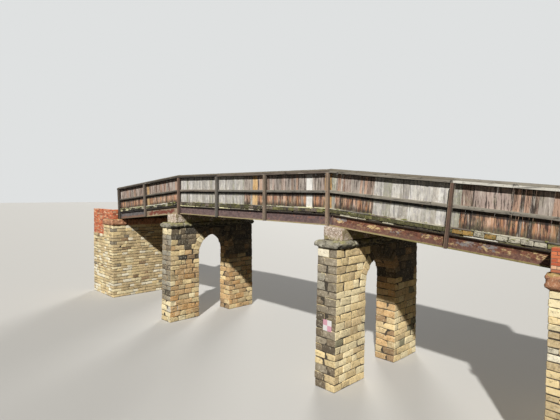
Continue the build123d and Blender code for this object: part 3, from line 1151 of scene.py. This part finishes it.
for end in ends:
    rng = random.Random(end)
    for part, look in wornParts.items():
        wornCopy(f"{end}_{look['piece']}", f"{end}_{part}", look, rng)

print("abutment masonry")

abutmentStone = dict(stone, bed=0.026, long=0.46, short=0.24, length=0.38, narrow=0.7)
abutmentWear = {
    "edge": 0.01, "cell": 0.2, "rough": 0.012, "pace": 9, "swell": 0.005, "skew": 0.009, "chip": 0.02
}
abutmentTones = {"tan": 9, "gold": 3, "paleGold": 3, "cream": 2.5, "greyBrown": 0.6, "brown": 0.5}
upperTones = {"paleGold": 4, "cream": 1, "gold": 3, "tan": 1}
wing = {
    "thickness": 0.45,
    "course": 0.165,
    "crown": 0.017,  # lifts the top course past the mortar
    "upperFrom": 4.0,  # height at which the upper tones start
}


def abutmentTraits(middle, rng):
    tone = pick(rng, stoneTones, upperTones if middle.z > wing["upperFrom"] else abutmentTones)
    return tone, rng.random(), tone


def grounded(points):
    # the lowest stones stop at the ground
    return np.maximum(points, (-np.inf, -np.inf, 0))


def mirrored(outline, side):
    # the same wall at the other end of the bridge, still running anticlockwise
    return outline if side > 0 else [(-x, y) for x, y in reversed(outline)]


def reachOf(node):
    # how far from the middle of the bridge a node reaches
    return max(abs(corner.x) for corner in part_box(node))


def makeAbutment(name, seed):
    node = f"{name}_abutment_wall"
    width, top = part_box(node)[1].yz
    front = abutmentFace
    tip = reachOf(node)
    back = reachOf(f"{name}_abutment_course")
    inner = width - wing["thickness"]
    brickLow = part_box(f"{name}_abutment_brickwork")[0].z
    lowZone = [
        (front, -width), (tip, -width), (tip, -inner), (back, -inner), (back, inner), (tip, inner),
        (tip, width), (front, width),
    ]
    highZone = [(front, -width), (back, -width), (back, width), (front, width)]
    pile = Pile(f"{name}_abutment_stones", seed)
    for outline, bottom, top in ((lowZone, 0, brickLow), (highZone, brickLow, top)):
        outline = mirrored(outline, ends[name])
        levels = courseLevels(pile.random, bottom, top, round((top - bottom) / wing["course"]))
        for course, (lower, upper) in enumerate(levels):
            layCourse(
                pile, outline, lower, upper, abutmentStone, abutmentTraits, course % 2, abutmentWear,
                grounded, crown=wing["crown"] if upper == levels[-1][1] else 0,
            )
    pile.finish(finishes["abutmentStone"], "abutment_sandstone")
    dress(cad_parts[node], finishes["mortar"])


makeAbutment("left", 21)
makeAbutment("right", 22)

brick = {
    "length": 0.215,
    "width": 0.1025,
    "height": 0.065,
    "joint": 0.01,
    "proud": 0.005,
    "proudWander": 0.002,
    "shortest": 0.03,
    "sliver": 0.02,  # a rest smaller than this is left open
    "crown": 0.009,
    "wingThick": 0.3,
    "crossThick": 0.34,
    "girderGap": 0.01,  # from the ends of the side spans to the cross wall
    "tones": {"red": 4, "orange": 6, "pink": 3, "brown": 1.5, "dark": 0.4, "pale": 1.5},
}
brickWear = {"edge": 0.006, "cell": 0.25, "rough": 0.003, "pace": 14, "skew": 0.003, "chip": 0.012}


def layBricks(pile, start, way, out, length, bottom, top, depth, crown=0):
    # courses of stretchers on one face of a wall, from its top down
    course = 0
    high = top
    pitch = brick["length"] + brick["joint"]
    half = brick["joint"] / 2
    wander = brick["proudWander"]
    while high > bottom + brick["sliver"]:
        low = max(bottom, high - brick["height"] - brick["joint"])
        lift = crown if high == top else 0
        place = -pitch / 2 * (course % 2)
        while place < length - brick["sliver"]:
            a = max(0, place) + half
            b = min(length, place + pitch) - half
            if b - a > brick["shortest"]:
                first = start + way * a + out * (brick["proud"] + pile.random.uniform(-wander, wander))
                second = start + way * b - out * depth
                box, far = boxOf(first, second, low + half, high - half + lift)
                traits = pile.look(brickTones, brick["tones"])
                pile.block(box, far, traits, brickWear, backs=hiddenSides(out))
            place += pitch
        high = low
        course += 1


def makeBrickwork(name, seed):
    node = f"{name}_abutment_brickwork"
    course = f"{name}_abutment_course"
    low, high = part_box(node)
    side = ends[name]
    tip = reachOf(node)
    back = reachOf(course)
    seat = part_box(course)[1].z
    thick = brick["wingThick"]
    inner = high.y - thick
    leaf = brick["width"] - brick["proud"]
    pile = Pile(f"{name}_bricks", seed)
    along = Vector((side, 0, 0))
    across = Vector((0, 1, 0))

    def face(x, y, way, out, length, bottom, top=high.z, crown=brick["crown"]):
        layBricks(pile, Vector((side * x, y, 0)), way, out, length, bottom, top, leaf, crown)

    def closeTop(x, y, way, out, length, wall):
        # the row of bricks that closes the top of a wall between its two faces
        width = wall - 2 * (brick["width"] + brick["joint"])
        start = Vector((side * x, y, 0)) + out * (width / 2 - brick["proud"])
        bottom = high.z - brick["height"] - brick["joint"]
        layBricks(pile, start, way, out, length, bottom, high.z, width - brick["proud"], brick["crown"])

    for hand in (-1, 1):
        outward = across * hand
        for y, out in ((high.y, outward), (inner, -outward)):
            face(abutmentFace, y * hand, along, out, tip - abutmentFace, seat)
            face(back, y * hand, along, out, tip - back, low.z, seat, 0)
        face(tip, inner * hand, outward, along, thick, low.z)
        face(abutmentFace, inner * hand, outward, -along, thick, seat)
        closeTop(abutmentFace, (high.y - thick / 2) * hand, along, outward, tip - abutmentFace, thick)
    front = spanEnd * math.cos(fall) + kink + brick["girderGap"]
    thick = brick["crossThick"]
    face(front, -inner, across, -along, 2 * inner, seat)
    face(front + thick, -inner, across, along, 2 * inner, seat)
    closeTop(front + thick / 2, -inner, across, along, 2 * inner, thick)
    pile.finish(finishes["brick"], "red_brick")
    dress(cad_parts[node], finishes["brickMortar"])


makeBrickwork("left", 31)
makeBrickwork("right", 32)

print("girders, packing and deck")

for name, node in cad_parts.items():
    if "girder" in name or "channels" in name:
        dress(node, finishes["steel"])

deckLook = {
    "pitch": 0.268,
    "gap": 0.014,
    "gapRange": (0.2, 1.6),  # of the gap, at either side of a timber
    "start": -0.035,  # the row on a side span starts there and ends short of the girders' end
    "short": 0.05,
    "drop": 0.008,
    "wander": 0.022,
    "wanderRange": (-0.4, 1),
    "overhang": 0.022,
    "postRoom": 0.07,  # timbers nearer than this to a post don't hang over
    "end": 0.13,  # how much of a timber's end has its own tone, out to the back of the boards
    "walkway": {"greyBrown": 4, "grey": 2, "brown": 1, "mossDark": 3, "dark": 1},
    "stretches": {
        "left": [(9, {"black": 4, "dark": 1, "mossDark": 2, "lichen": 2, "pale": 1})],
        "centre": [
            (-1.55, {"greyBrown": 2, "grey": 1, "mossDark": 2, "dark": 1}),
            (1.55, {"mossDark": 4, "dark": 2, "greyBrown": 2}),
            (9, {"mossDark": 3, "greyBrown": 1, "dark": 2, "moss": 1.5}),
        ],
        "right": [
            (1.9, {"mossDark": 4, "moss": 1}),
            (3.3, {"mossDark": 3, "moss": 1}),
            (3.9, {"pale": 1, "mossDark": 2, "dark": 1}),
            (4.55, {"gold": 1}),
            (4.8, {"pale": 1}),
            (5.15, {"gold": 3, "mossDark": 1}),
            (9, {"pale": 5, "moss": 1, "gold": 1}),
        ],
    },
}
deckWear = {"edge": 0.014, "cell": 0.09, "rough": 0.01, "pace": 7, "skew": 0.006, "chip": 0.035}
walkwayWear = dict(deckWear, cell=0.25, chip=0, skew=0)


def makeDeck(span, seed):
    pile = Pile(f"{span}_deck_timbers", seed)
    rng = pile.random
    walked = random.Random(seed)
    start, end = spanRun(span, deckLook)
    count = round((end - start) / deckLook["pitch"])
    pitch = (end - start) / count
    half = deckLook["gap"] / 2
    room = deckLook["postRoom"]
    split = deckLook["end"]
    for i in range(count):
        low = start + i * pitch + half * rng.uniform(*deckLook["gapRange"])
        high = start + (i + 1) * pitch - half * rng.uniform(*deckLook["gapRange"])
        traits = pile.look(timberTones, within(deckLook["stretches"][span], (low + high) / 2)[1])
        top = deckTop - rng.uniform(0, deckLook["drop"])
        atPost = any(low - room < post < high + room for post in postPlaces[span])
        over = 0 if atPost else deckLook["overhang"]
        wander = 0 if atPost else deckLook["wander"]
        near = -deckEdge - over + rng.uniform(*deckLook["wanderRange"]) * wander
        far = deckEdge + over - rng.uniform(*deckLook["wanderRange"]) * wander
        plain = (pick(walked, timberTones, deckLook["walkway"]), walked.random(), 0)
        for first, last, wear, look in (
            (near, near + split, deckWear, traits),
            (near + split, far - split, walkwayWear, plain),
            (far - split, far, deckWear, traits),
        ):
            pile.block((low, first, deckUnder), (high, last, top), look, wear, place=spanPlace(span))
    pile.finish(finishes["deck"], "deck_timber", f"{span}_deck")


packing = {
    "half": 0.055,
    "inset": 0.01,
    "start": 0.0,
    "short": 0.06,
    "lengths": (0.25, 1.3),
    "shortest": 0.12,
    "sliver": 0.2,
    "shift": (-0.01, 0.016),
    "gaps": (0.01, 0.03, 0.1),
    "under": 0.001,  # how far the packing sinks into the flange below and the deck above
    "over": 0.002,
    "stretches": {
        "left": [(9, {"black": 3, "dark": 1})],
        "centre": [
            (-1.55, {"lichen": 2, "pale": 2, "grey": 1}),
            (0.2, {"lichen": 3, "pale": 1}),
            (1.55, {"black": 2, "lichen": 1, "pale": 1}),
            (9, {"pale": 1, "dark": 1, "lichen": 1}),
        ],
        "right": [
            (0.35, {"dark": 1}),
            (1.35, {"pale": 1}),
            (1.9, {"dark": 1}),
            (2.3, {"pale": 1, "grey": 1}),
            (4.2, {"dark": 2, "greyBrown": 1}),
            (5.13, {"bleached": 1, "lichen": 1}),
            (9, {"dark": 2, "mossDark": 1}),
        ],
    },
}
packingWear = {"edge": 0.006, "cell": 0.1, "rough": 0.006, "pace": 6, "skew": 0.004, "chip": 0.02}


def makePacking(span, seed):
    pile = Pile(f"{span}_packing_timbers", seed)
    rng = pile.random
    half = packing["half"]
    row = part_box("centre_packers")[1].y - half
    start, end = spanRun(span, packing)
    for y in (-row, -row / 3, row / 3, row):
        place = start
        while place < end - packing["sliver"]:
            limit, weights = within(packing["stretches"][span], place)
            length = min(rng.uniform(*packing["lengths"]), limit - place, end - place)
            length = max(packing["shortest"], length)
            traits = pile.look(timberTones, weights)
            shift = rng.uniform(*packing["shift"]) * (1 if y < 0 else -1)
            box = (place, y - half + shift, flangeTop - packing["under"])
            far = (place + length, y + half + shift, deckUnder + packing["over"])
            pile.block(box, far, traits, packingWear, place=spanPlace(span))
            place += length + rng.choice(packing["gaps"])
    pile.finish(finishes["packing"], "packing_timber", f"{span}_packers")


for number, span in enumerate(spanSides):
    makeDeck(span, 41 + number)
    makePacking(span, 51 + number)

print("parapets")

browns = {"redBrown": 2, "brown": 4, "pink": 4, "brownGrey": 6, "orange": 2}
paleGreys = {"silver": 5, "grey": 3, "white": 4, "greenGrey": 1.5}
greyBrowns = {"brownGrey": 5, "pink": 3, "brown": 2, "orange": 0.6}
streaky = {"brown": 3, "orange": 4, "brownGrey": 3, "dark": 2}
wideGrey = {"brownGrey": 3, "pink": 2}

# stretches of boards on the near parapet: where each ends, how wide its boards are, and their tones
boardStretches = {
    "left": [
        (2.68, 0.125, browns),
        (3.0, 0.14, {"brown": 2, "pink": 1}),
        (3.23, 0.23, {"new": 1}),
        (6.565, 0.125, browns),
    ],
    "centre": [
        (-1.5, 0.125, paleGreys),
        (0.15, 0.125, paleGreys),
        (0.65, 0.12, {"brownGrey": 2, "grey": 1, "greenGrey": 1, "brown": 1}),
        (0.94, 0.29, {"new": 1}),
        (1.5, 0.14, {"brownGrey": 3, "pink": 1, "orange": 1}),
        (3.46, 0.125, greyBrowns),
        (3.74, 0.28, {"bright": 1}),
        (4.27, 0.13, greyBrowns),
        (4.36, 0.09, {"honey": 1}),
        (4.5, 0.14, {"brown": 1}),
        (4.56, 0.06, {"honey": 1}),
    ],
    "right": [
        (0.07, 0.07, {"paleGreen": 1}),
        (0.14, 0.07, {"brownGrey": 1}),
        (0.25, 0.11, {"orange": 1}),
        (0.35, 0.1, {"brownGrey": 1}),
        (0.4, 0.05, {"orange": 1}),
        (0.65, 0.12, {"pink": 2, "silver": 1}),
        (1.0, 0.12, {"brownGrey": 2, "brown": 1}),
        (1.07, 0.07, {"orange": 1}),
        (1.16, 0.09, {"brownGrey": 1}),
        (1.25, 0.09, {"orange": 1}),
        (1.52, 0.13, {"brown": 1, "dark": 1}),
        (1.83, 0.31, {"silver": 1}),
        (2.1, 0.27, {"greenGrey": 1}),
        (2.37, 0.27, {"silver": 1}),
        (2.65, 0.28, {"grey": 1}),
        (3.92, 0.14, {"silver": 4, "white": 3, "bright": 0.5, "grey": 2.5}),
        (4.12, 0.2, {"paleGreen": 1}),
        (4.39, 0.135, {"orange": 1, "brown": 1}),
        (4.42, 0.03, {"dark": 1}),
        (5.3, 0.29, wideGrey),
        (5.33, 0.03, {"dark": 1}),
        (5.43, 0.1, {"orange": 1}),
        (5.575, 0.07, {"dark": 1, "orange": 1}),
        (5.71, 0.13, {"orange": 1}),
        (5.87, 0.08, {"dark": 3, "brown": 1}),
        (6.16, 0.29, {"brownGrey": 1}),
        (6.715, 0.14, streaky),
    ],
}
farBoards = {
    "left": [(6.565, 0.13, dict(browns, silver=3))],
    "centre": [(0.3, 0.13, paleGreys), (4.56, 0.13, greyBrowns)],
    "right": [(1.6, 0.13, streaky), (4.0, 0.15, paleGreys), (6.715, 0.16, dict(browns, greenGrey=2))],
}
boardLook = {
    "gap": 0.007,
    "gapRange": (0.3, 1.7),
    "wander": 0.022,  # how far a board's foot may hang down
    "wanderRange": (-0.004, 1),
    "topWander": 0.012,
    "thickness": 0.025,
    "slip": 0.005,
    "cutWander": 0.18,
    "drop": 0.05,  # the one bright board hangs lower
}
boardWear = {"edge": 0.004, "cell": 0.11, "rough": 0.0035, "pace": 5, "skew": 0.004}


def plumbStart(span, low, high, levelAt=0.0):
    # moves a piece's first end onto the plumb cut where a side span meets the level one
    def warp(points):
        points = points.copy()
        share = np.clip((high - points[:, 0]) / (high - low), 0, 1)
        points[:, 0] -= (points[:, 2] - levelAt) * math.tan(fall) * share
        return points

    return warp if span != "centre" else None


def makeBoards(span, hand, seed):
    pile = Pile(f"{span}_{hand}_boards", seed)
    rng = pile.random
    first = start = spanReach[span][0]
    wander = boardLook["cutWander"]

    def rise(points):
        return (points[:, 2] - boardLow) / (boardHigh - boardLow)

    for end, width, weights in (boardStretches if hand == "near" else farBoards)[span]:
        count = max(1, round((end - start) / width))
        inner = [start + (end - start) * (i + rng.uniform(-wander, wander)) / count for i in range(1, count)]
        cuts = [start, *inner, end]
        for low, high in zip(cuts, cuts[1:]):
            back = boardBack + rng.uniform(-1, 1) * boardLook["slip"]
            foot = boardLow - rng.uniform(*boardLook["wanderRange"]) * boardLook["wander"]
            head = boardHigh + rng.uniform(-1, 1) * boardLook["topWander"]
            if list(weights) == ["bright"]:
                foot -= boardLook["drop"]
            traits = pile.look(boardTones, weights, rise)
            half = boardLook["gap"] / 2 * rng.uniform(*boardLook["gapRange"])
            pile.block(
                (low + half, back, foot), (high - half, back + boardLook["thickness"], head), traits,
                boardWear, plumbStart(span, low, high) if low == first else None,
                spanPlace(span, hands[hand]),
            )
        start = end
    pile.finish(finishes["boards"], "parapet_boards", f"{span}_boards_{hand}")


railLook = {
    "topHeight": 0.14,
    "topDrop": 0.005,
    "shoulderHeight": 0.048,
    "shoulderWidth": 0.062,
    "midHeight": 0.09,
    "joint": 0.002,  # half the gap between two rails
    "shortest": 0.5,
    "overrun": 0.015,  # of the top rail beyond the boards
    "topStretches": {
        "left": [(9, {"dark": 1})],
        "centre": [(9, {"greyBrown": 1, "slate": 2, "dark": 1})],
        "right": [(3.9, {"grey": 1}), (9, {"bleached": 1})],
    },
    "midTones": {
        "left": {"dark": 1}, "centre": {"slate": 2, "greyBrown": 1}, "right": {"grey": 2, "slate": 1}
    },
}
railWear = {"edge": 0.009, "cell": 0.07, "rough": 0.007, "pace": 4, "chip": 0.02}


def railCuts(span):
    # rails meet end to end at the joints and at one post along each span
    low, high = spanReach[span]
    short = railLook["shortest"]
    inner = [p for p in postPlaces[span] if low + short < p < high - short]
    return [low, *inner[::2], high]


def makeRails(hand, seed):
    top = Pile(f"top_rails_{hand}", seed)
    mid = Pile(f"mid_rails_{hand}", seed + 1)
    topLow = parapetTop - railLook["topHeight"]
    midLow = midRailTop - railLook["midHeight"]
    joint = railLook["joint"]
    crest = railFront - railLook["shoulderWidth"]
    slope = railLook["shoulderHeight"] / railLook["shoulderWidth"]

    def topRise(points):
        return (points[:, 2] - topLow) / railLook["topHeight"]

    def midRise(points):
        return (points[:, 2] - midLow) / railLook["midHeight"]

    for span in spanReach:
        place = spanPlace(span, hands[hand])
        cuts = railCuts(span)
        for low, high in zip(cuts, cuts[1:]):
            isFirst = low == cuts[0]
            isLast = high == cuts[-1] and span != "centre"
            end = high + railLook["overrun"] if isLast else high
            head = parapetTop - top.random.uniform(0, railLook["topDrop"])
            lean = plumbStart(span, low, end) if isFirst else None
            tail = plumbStart(span, end, low, topLow) if isLast else None

            def shoulder(points):
                # the front edge slopes down, and the ends lean to the plumb cuts
                points = points.copy()
                limit = head - np.maximum(0, points[:, 1] - crest) * slope
                points[:, 2] = np.minimum(points[:, 2], limit)
                for bend in (lean, tail):
                    points = bend(points) if bend else points
                return points

            top.block(
                (low + joint, boardFront, topLow), (end - joint, railFront, head),
                top.look(timberTones, within(railLook["topStretches"][span], low)[1], topRise), railWear,
                shoulder, place,
            )
            mid.block(
                (low + joint, boardFront, midLow), (high - joint, girderEdge, midRailTop),
                mid.look(timberTones, railLook["midTones"][span], midRise), railWear,
                plumbStart(span, low, high) if isFirst else None, place,
            )
    top.finish(finishes["topRails"], "rail_timber", f"top_rail_{hand}")
    mid.finish(finishes["midRails"], "rail_timber", f"mid_rail_{hand}")


ledgeLook = {
    "height": 0.03,
    "start": -0.045,
    "short": 0.05,
    "lengths": (0.4, 1.8),
    "slip": (-0.01, 0.014),
    "lift": (-0.004, 0.006),
    "sink": 0.004,
    "sliver": 0.1,
    "gaps": (0.004, 0.01, 0.05, 0.12),
    "stretches": {
        "left": [
            (3.25, {"bleached": 3, "grey": 1, "mossDark": 1, "black": 1}),
            (9, {"lichen": 4, "moss": 1, "bleached": 1}),
        ],
        "centre": [
            (-1.55, {"pale": 3, "grey": 2, "greyBrown": 1}),
            (0.2, {"mossDark": 3, "greyBrown": 2}),
            (1.55, {"grey": 2, "mossDark": 1, "lichen": 1}),
            (9, {"grey": 3, "lichen": 2, "mossDark": 1, "pale": 2}),
        ],
        "right": [(3.9, {"grey": 4, "greyBrown": 2, "pale": 1}), (9, {"pale": 1, "grey": 4})],
    },
}
ledgeWear = {"edge": 0.007, "cell": 0.09, "rough": 0.006, "pace": 5, "skew": 0.006, "chip": 0.03}


def makeLedge(hand, seed):
    pile = Pile(f"ledge_planks_{hand}", seed)
    rng = pile.random
    for span in spanReach:
        spot, end = spanRun(span, ledgeLook)
        while spot < end - ledgeLook["sliver"]:
            length = min(rng.uniform(*ledgeLook["lengths"]), end - spot)
            tone = pick(rng, timberTones, within(ledgeLook["stretches"][span], spot)[1])
            slip = rng.uniform(*ledgeLook["slip"])
            lift = rng.uniform(*ledgeLook["lift"])
            pile.block(
                (spot, boardBack + slip, deckTop - ledgeLook["sink"]),
                (spot + length, girderEdge + slip, deckTop + ledgeLook["height"] + lift),
                (tone, rng.random(), 0), ledgeWear, place=spanPlace(span, hands[hand]),
            )
            spot += length + rng.choice(ledgeLook["gaps"])
    pile.finish(finishes["ledge"], "rail_timber", f"ledge_{hand}")


# half the width of each post, and its tone
postLook = {
    "left": [(0.055, "greyBrown"), (0.055, "dark")],
    "centre": [(0.055, "redBrown"), (0.055, "slate"), (0.055, "earth"), (0.055, "sand")],
    "right": [(0.042, "brown"), (0.055, "dark")],
}
postWear = {"edge": 0.008, "cell": 0.09, "rough": 0.004, "pace": 5, "chip": 0.015}


def makePosts(hand, seed):
    pile = Pile(f"{hand}_posts", seed)
    head = parapetTop - railLook["topHeight"]
    for span, places in postPlaces.items():
        for spot, (half, tone) in zip(places, postLook[span]):

            def across(points):
                return (points[:, 0] - spot + half) / half / 2

            pile.block(
                (spot - half, girderEdge, 0), (spot + half, postFront, head),
                pile.look(timberTones, {tone: 1}, across), postWear, place=spanPlace(span, hands[hand]),
            )
    pile.finish(finishes["posts"], "rail_timber", f"posts_{hand}")


for number, hand in enumerate(hands):
    for other, span in enumerate(spanReach):
        makeBoards(span, hand, 61 + 10 * number + other)
    makeRails(hand, 81 + 10 * number)
    makeLedge(hand, 83 + 10 * number)
    makePosts(hand, 88 + 10 * number)

print("moss, bolts and plate")

moss = {
    "perMetre": {"left": 16, "centre": 8, "right": 8},
    "start": 0.0,
    "short": 0.2,
    "size": (0.012, 0.045),
    "length": (0.8, 2.4),  # of the size, then its width and height
    "width": 0.8,
    "height": 0.5,
    "lumps": 0.35,
    "gain": {"left": 1.3, "centre": 1, "right": 1},
    "onLedge": 0.55,  # how many lie on the ledge, and the others on the timbers' ends
    "pale": {"left": 0.6, "centre": 0.3, "right": 0.3},
    "seed": 101,
}


def lumpShape():
    # points and faces of a small ball
    ball = bmesh.new()
    bmesh.ops.create_icosphere(ball, subdivisions=2, radius=1)
    points = np.array([v.co[:] for v in ball.verts])
    faces = np.array([[v.index for v in f.verts] for f in ball.faces])
    ball.free()
    return points, faces


def makeMoss(hand, seed):
    # cushions of moss and lichen along the ledge and on the timbers' ends
    pile = Pile(f"moss_{hand}", seed)
    rng = pile.random
    points, faces = lumpShape()
    for span in spanReach:
        start, end = spanRun(span, moss)
        place = spanPlace(span, hands[hand])
        for _ in range(round((end - start) * moss["perMetre"][span])):
            size = rng.uniform(*moss["size"]) * moss["gain"][span]
            spot = rng.uniform(start, end)
            onLedge = rng.random() < moss["onLedge"]
            y = rng.uniform(boardFront + 0.01, girderEdge - 0.01) if onLedge else deckEdge
            z = deckTop + ledgeLook["height"] if onLedge else rng.uniform(deckUnder + 0.04, deckTop)
            worn = 1 + moss["lumps"] * ripple(points * 1.7 + rng.uniform(0, 99))
            stretch = [size * rng.uniform(*moss["length"]), size * moss["width"], size * moss["height"]]
            shape = points * worn[:, None] * stretch
            tone = 0.9 if rng.random() < moss["pale"][span] else rng.uniform(0, 0.5)
            pile.add(shape + [spot, y, z], faces, (tone, rng.random(), 0), place)
    pile.finish(finishes["moss"], "rail_timber")


bolts = {
    "radius": 0.016,
    "height": 0.012,
    "sink": 0.003,
    "wander": 0.008,
    "rises": (0.1, 0.27, 1.1, 1.6),
    "seed": 111,
}


def makeBolts(hand):
    pile = Pile(f"bolts_{hand}", bolts["seed"])
    points, faces = lumpShape()
    lump = points * np.array([bolts["radius"], bolts["height"], bolts["radius"]])
    wander = bolts["wander"]
    for span, places in postPlaces.items():
        for spot in places:
            for rise in bolts["rises"]:
                x = spot + pile.random.uniform(-wander, wander)
                shape = lump + [x, postFront - bolts["sink"], rise]
                pile.add(shape, faces, (0, 0, 0), spanPlace(span, hands[hand]))
    pile.finish(finishes["iron"], "rusty_steel")


for number, hand in enumerate(hands):
    makeMoss(hand, moss["seed"] + number)
    makeBolts(hand)

plate = {
    "left": 4.795,
    "right": 5.13,
    "low": 1.87,
    "high": 2.22,
    "thickness": 0.006,
    "proud": 0.03,
    "seed": 121,
}
plateWear = {"edge": 0.002, "cell": 0.5, "rough": 0, "pace": 1}


def makePlate():
    # a plain quartered plate on the near end of the right pier
    pile = Pile("pier_plate", plate["seed"])
    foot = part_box("right_pier")[1].y
    middleX = (plate["left"] + plate["right"]) / 2
    middleZ = (plate["low"] + plate["high"]) / 2
    y = -(foot - pierShape["batter"] * middleZ / pierShape["height"] + plate["proud"])
    for i, (x0, x1) in enumerate(((plate["left"], middleX), (middleX, plate["right"]))):
        for j, (z0, z1) in enumerate(((plate["low"], middleZ), (middleZ, plate["high"]))):
            low = (x0, y - plate["thickness"], z0)
            pile.block(low, (x1, y, z1), ((i + j) % 2 * 0.9, 0.5, 0), plateWear)
    pile.finish(finishes["plate"], "rusty_steel")


makePlate()
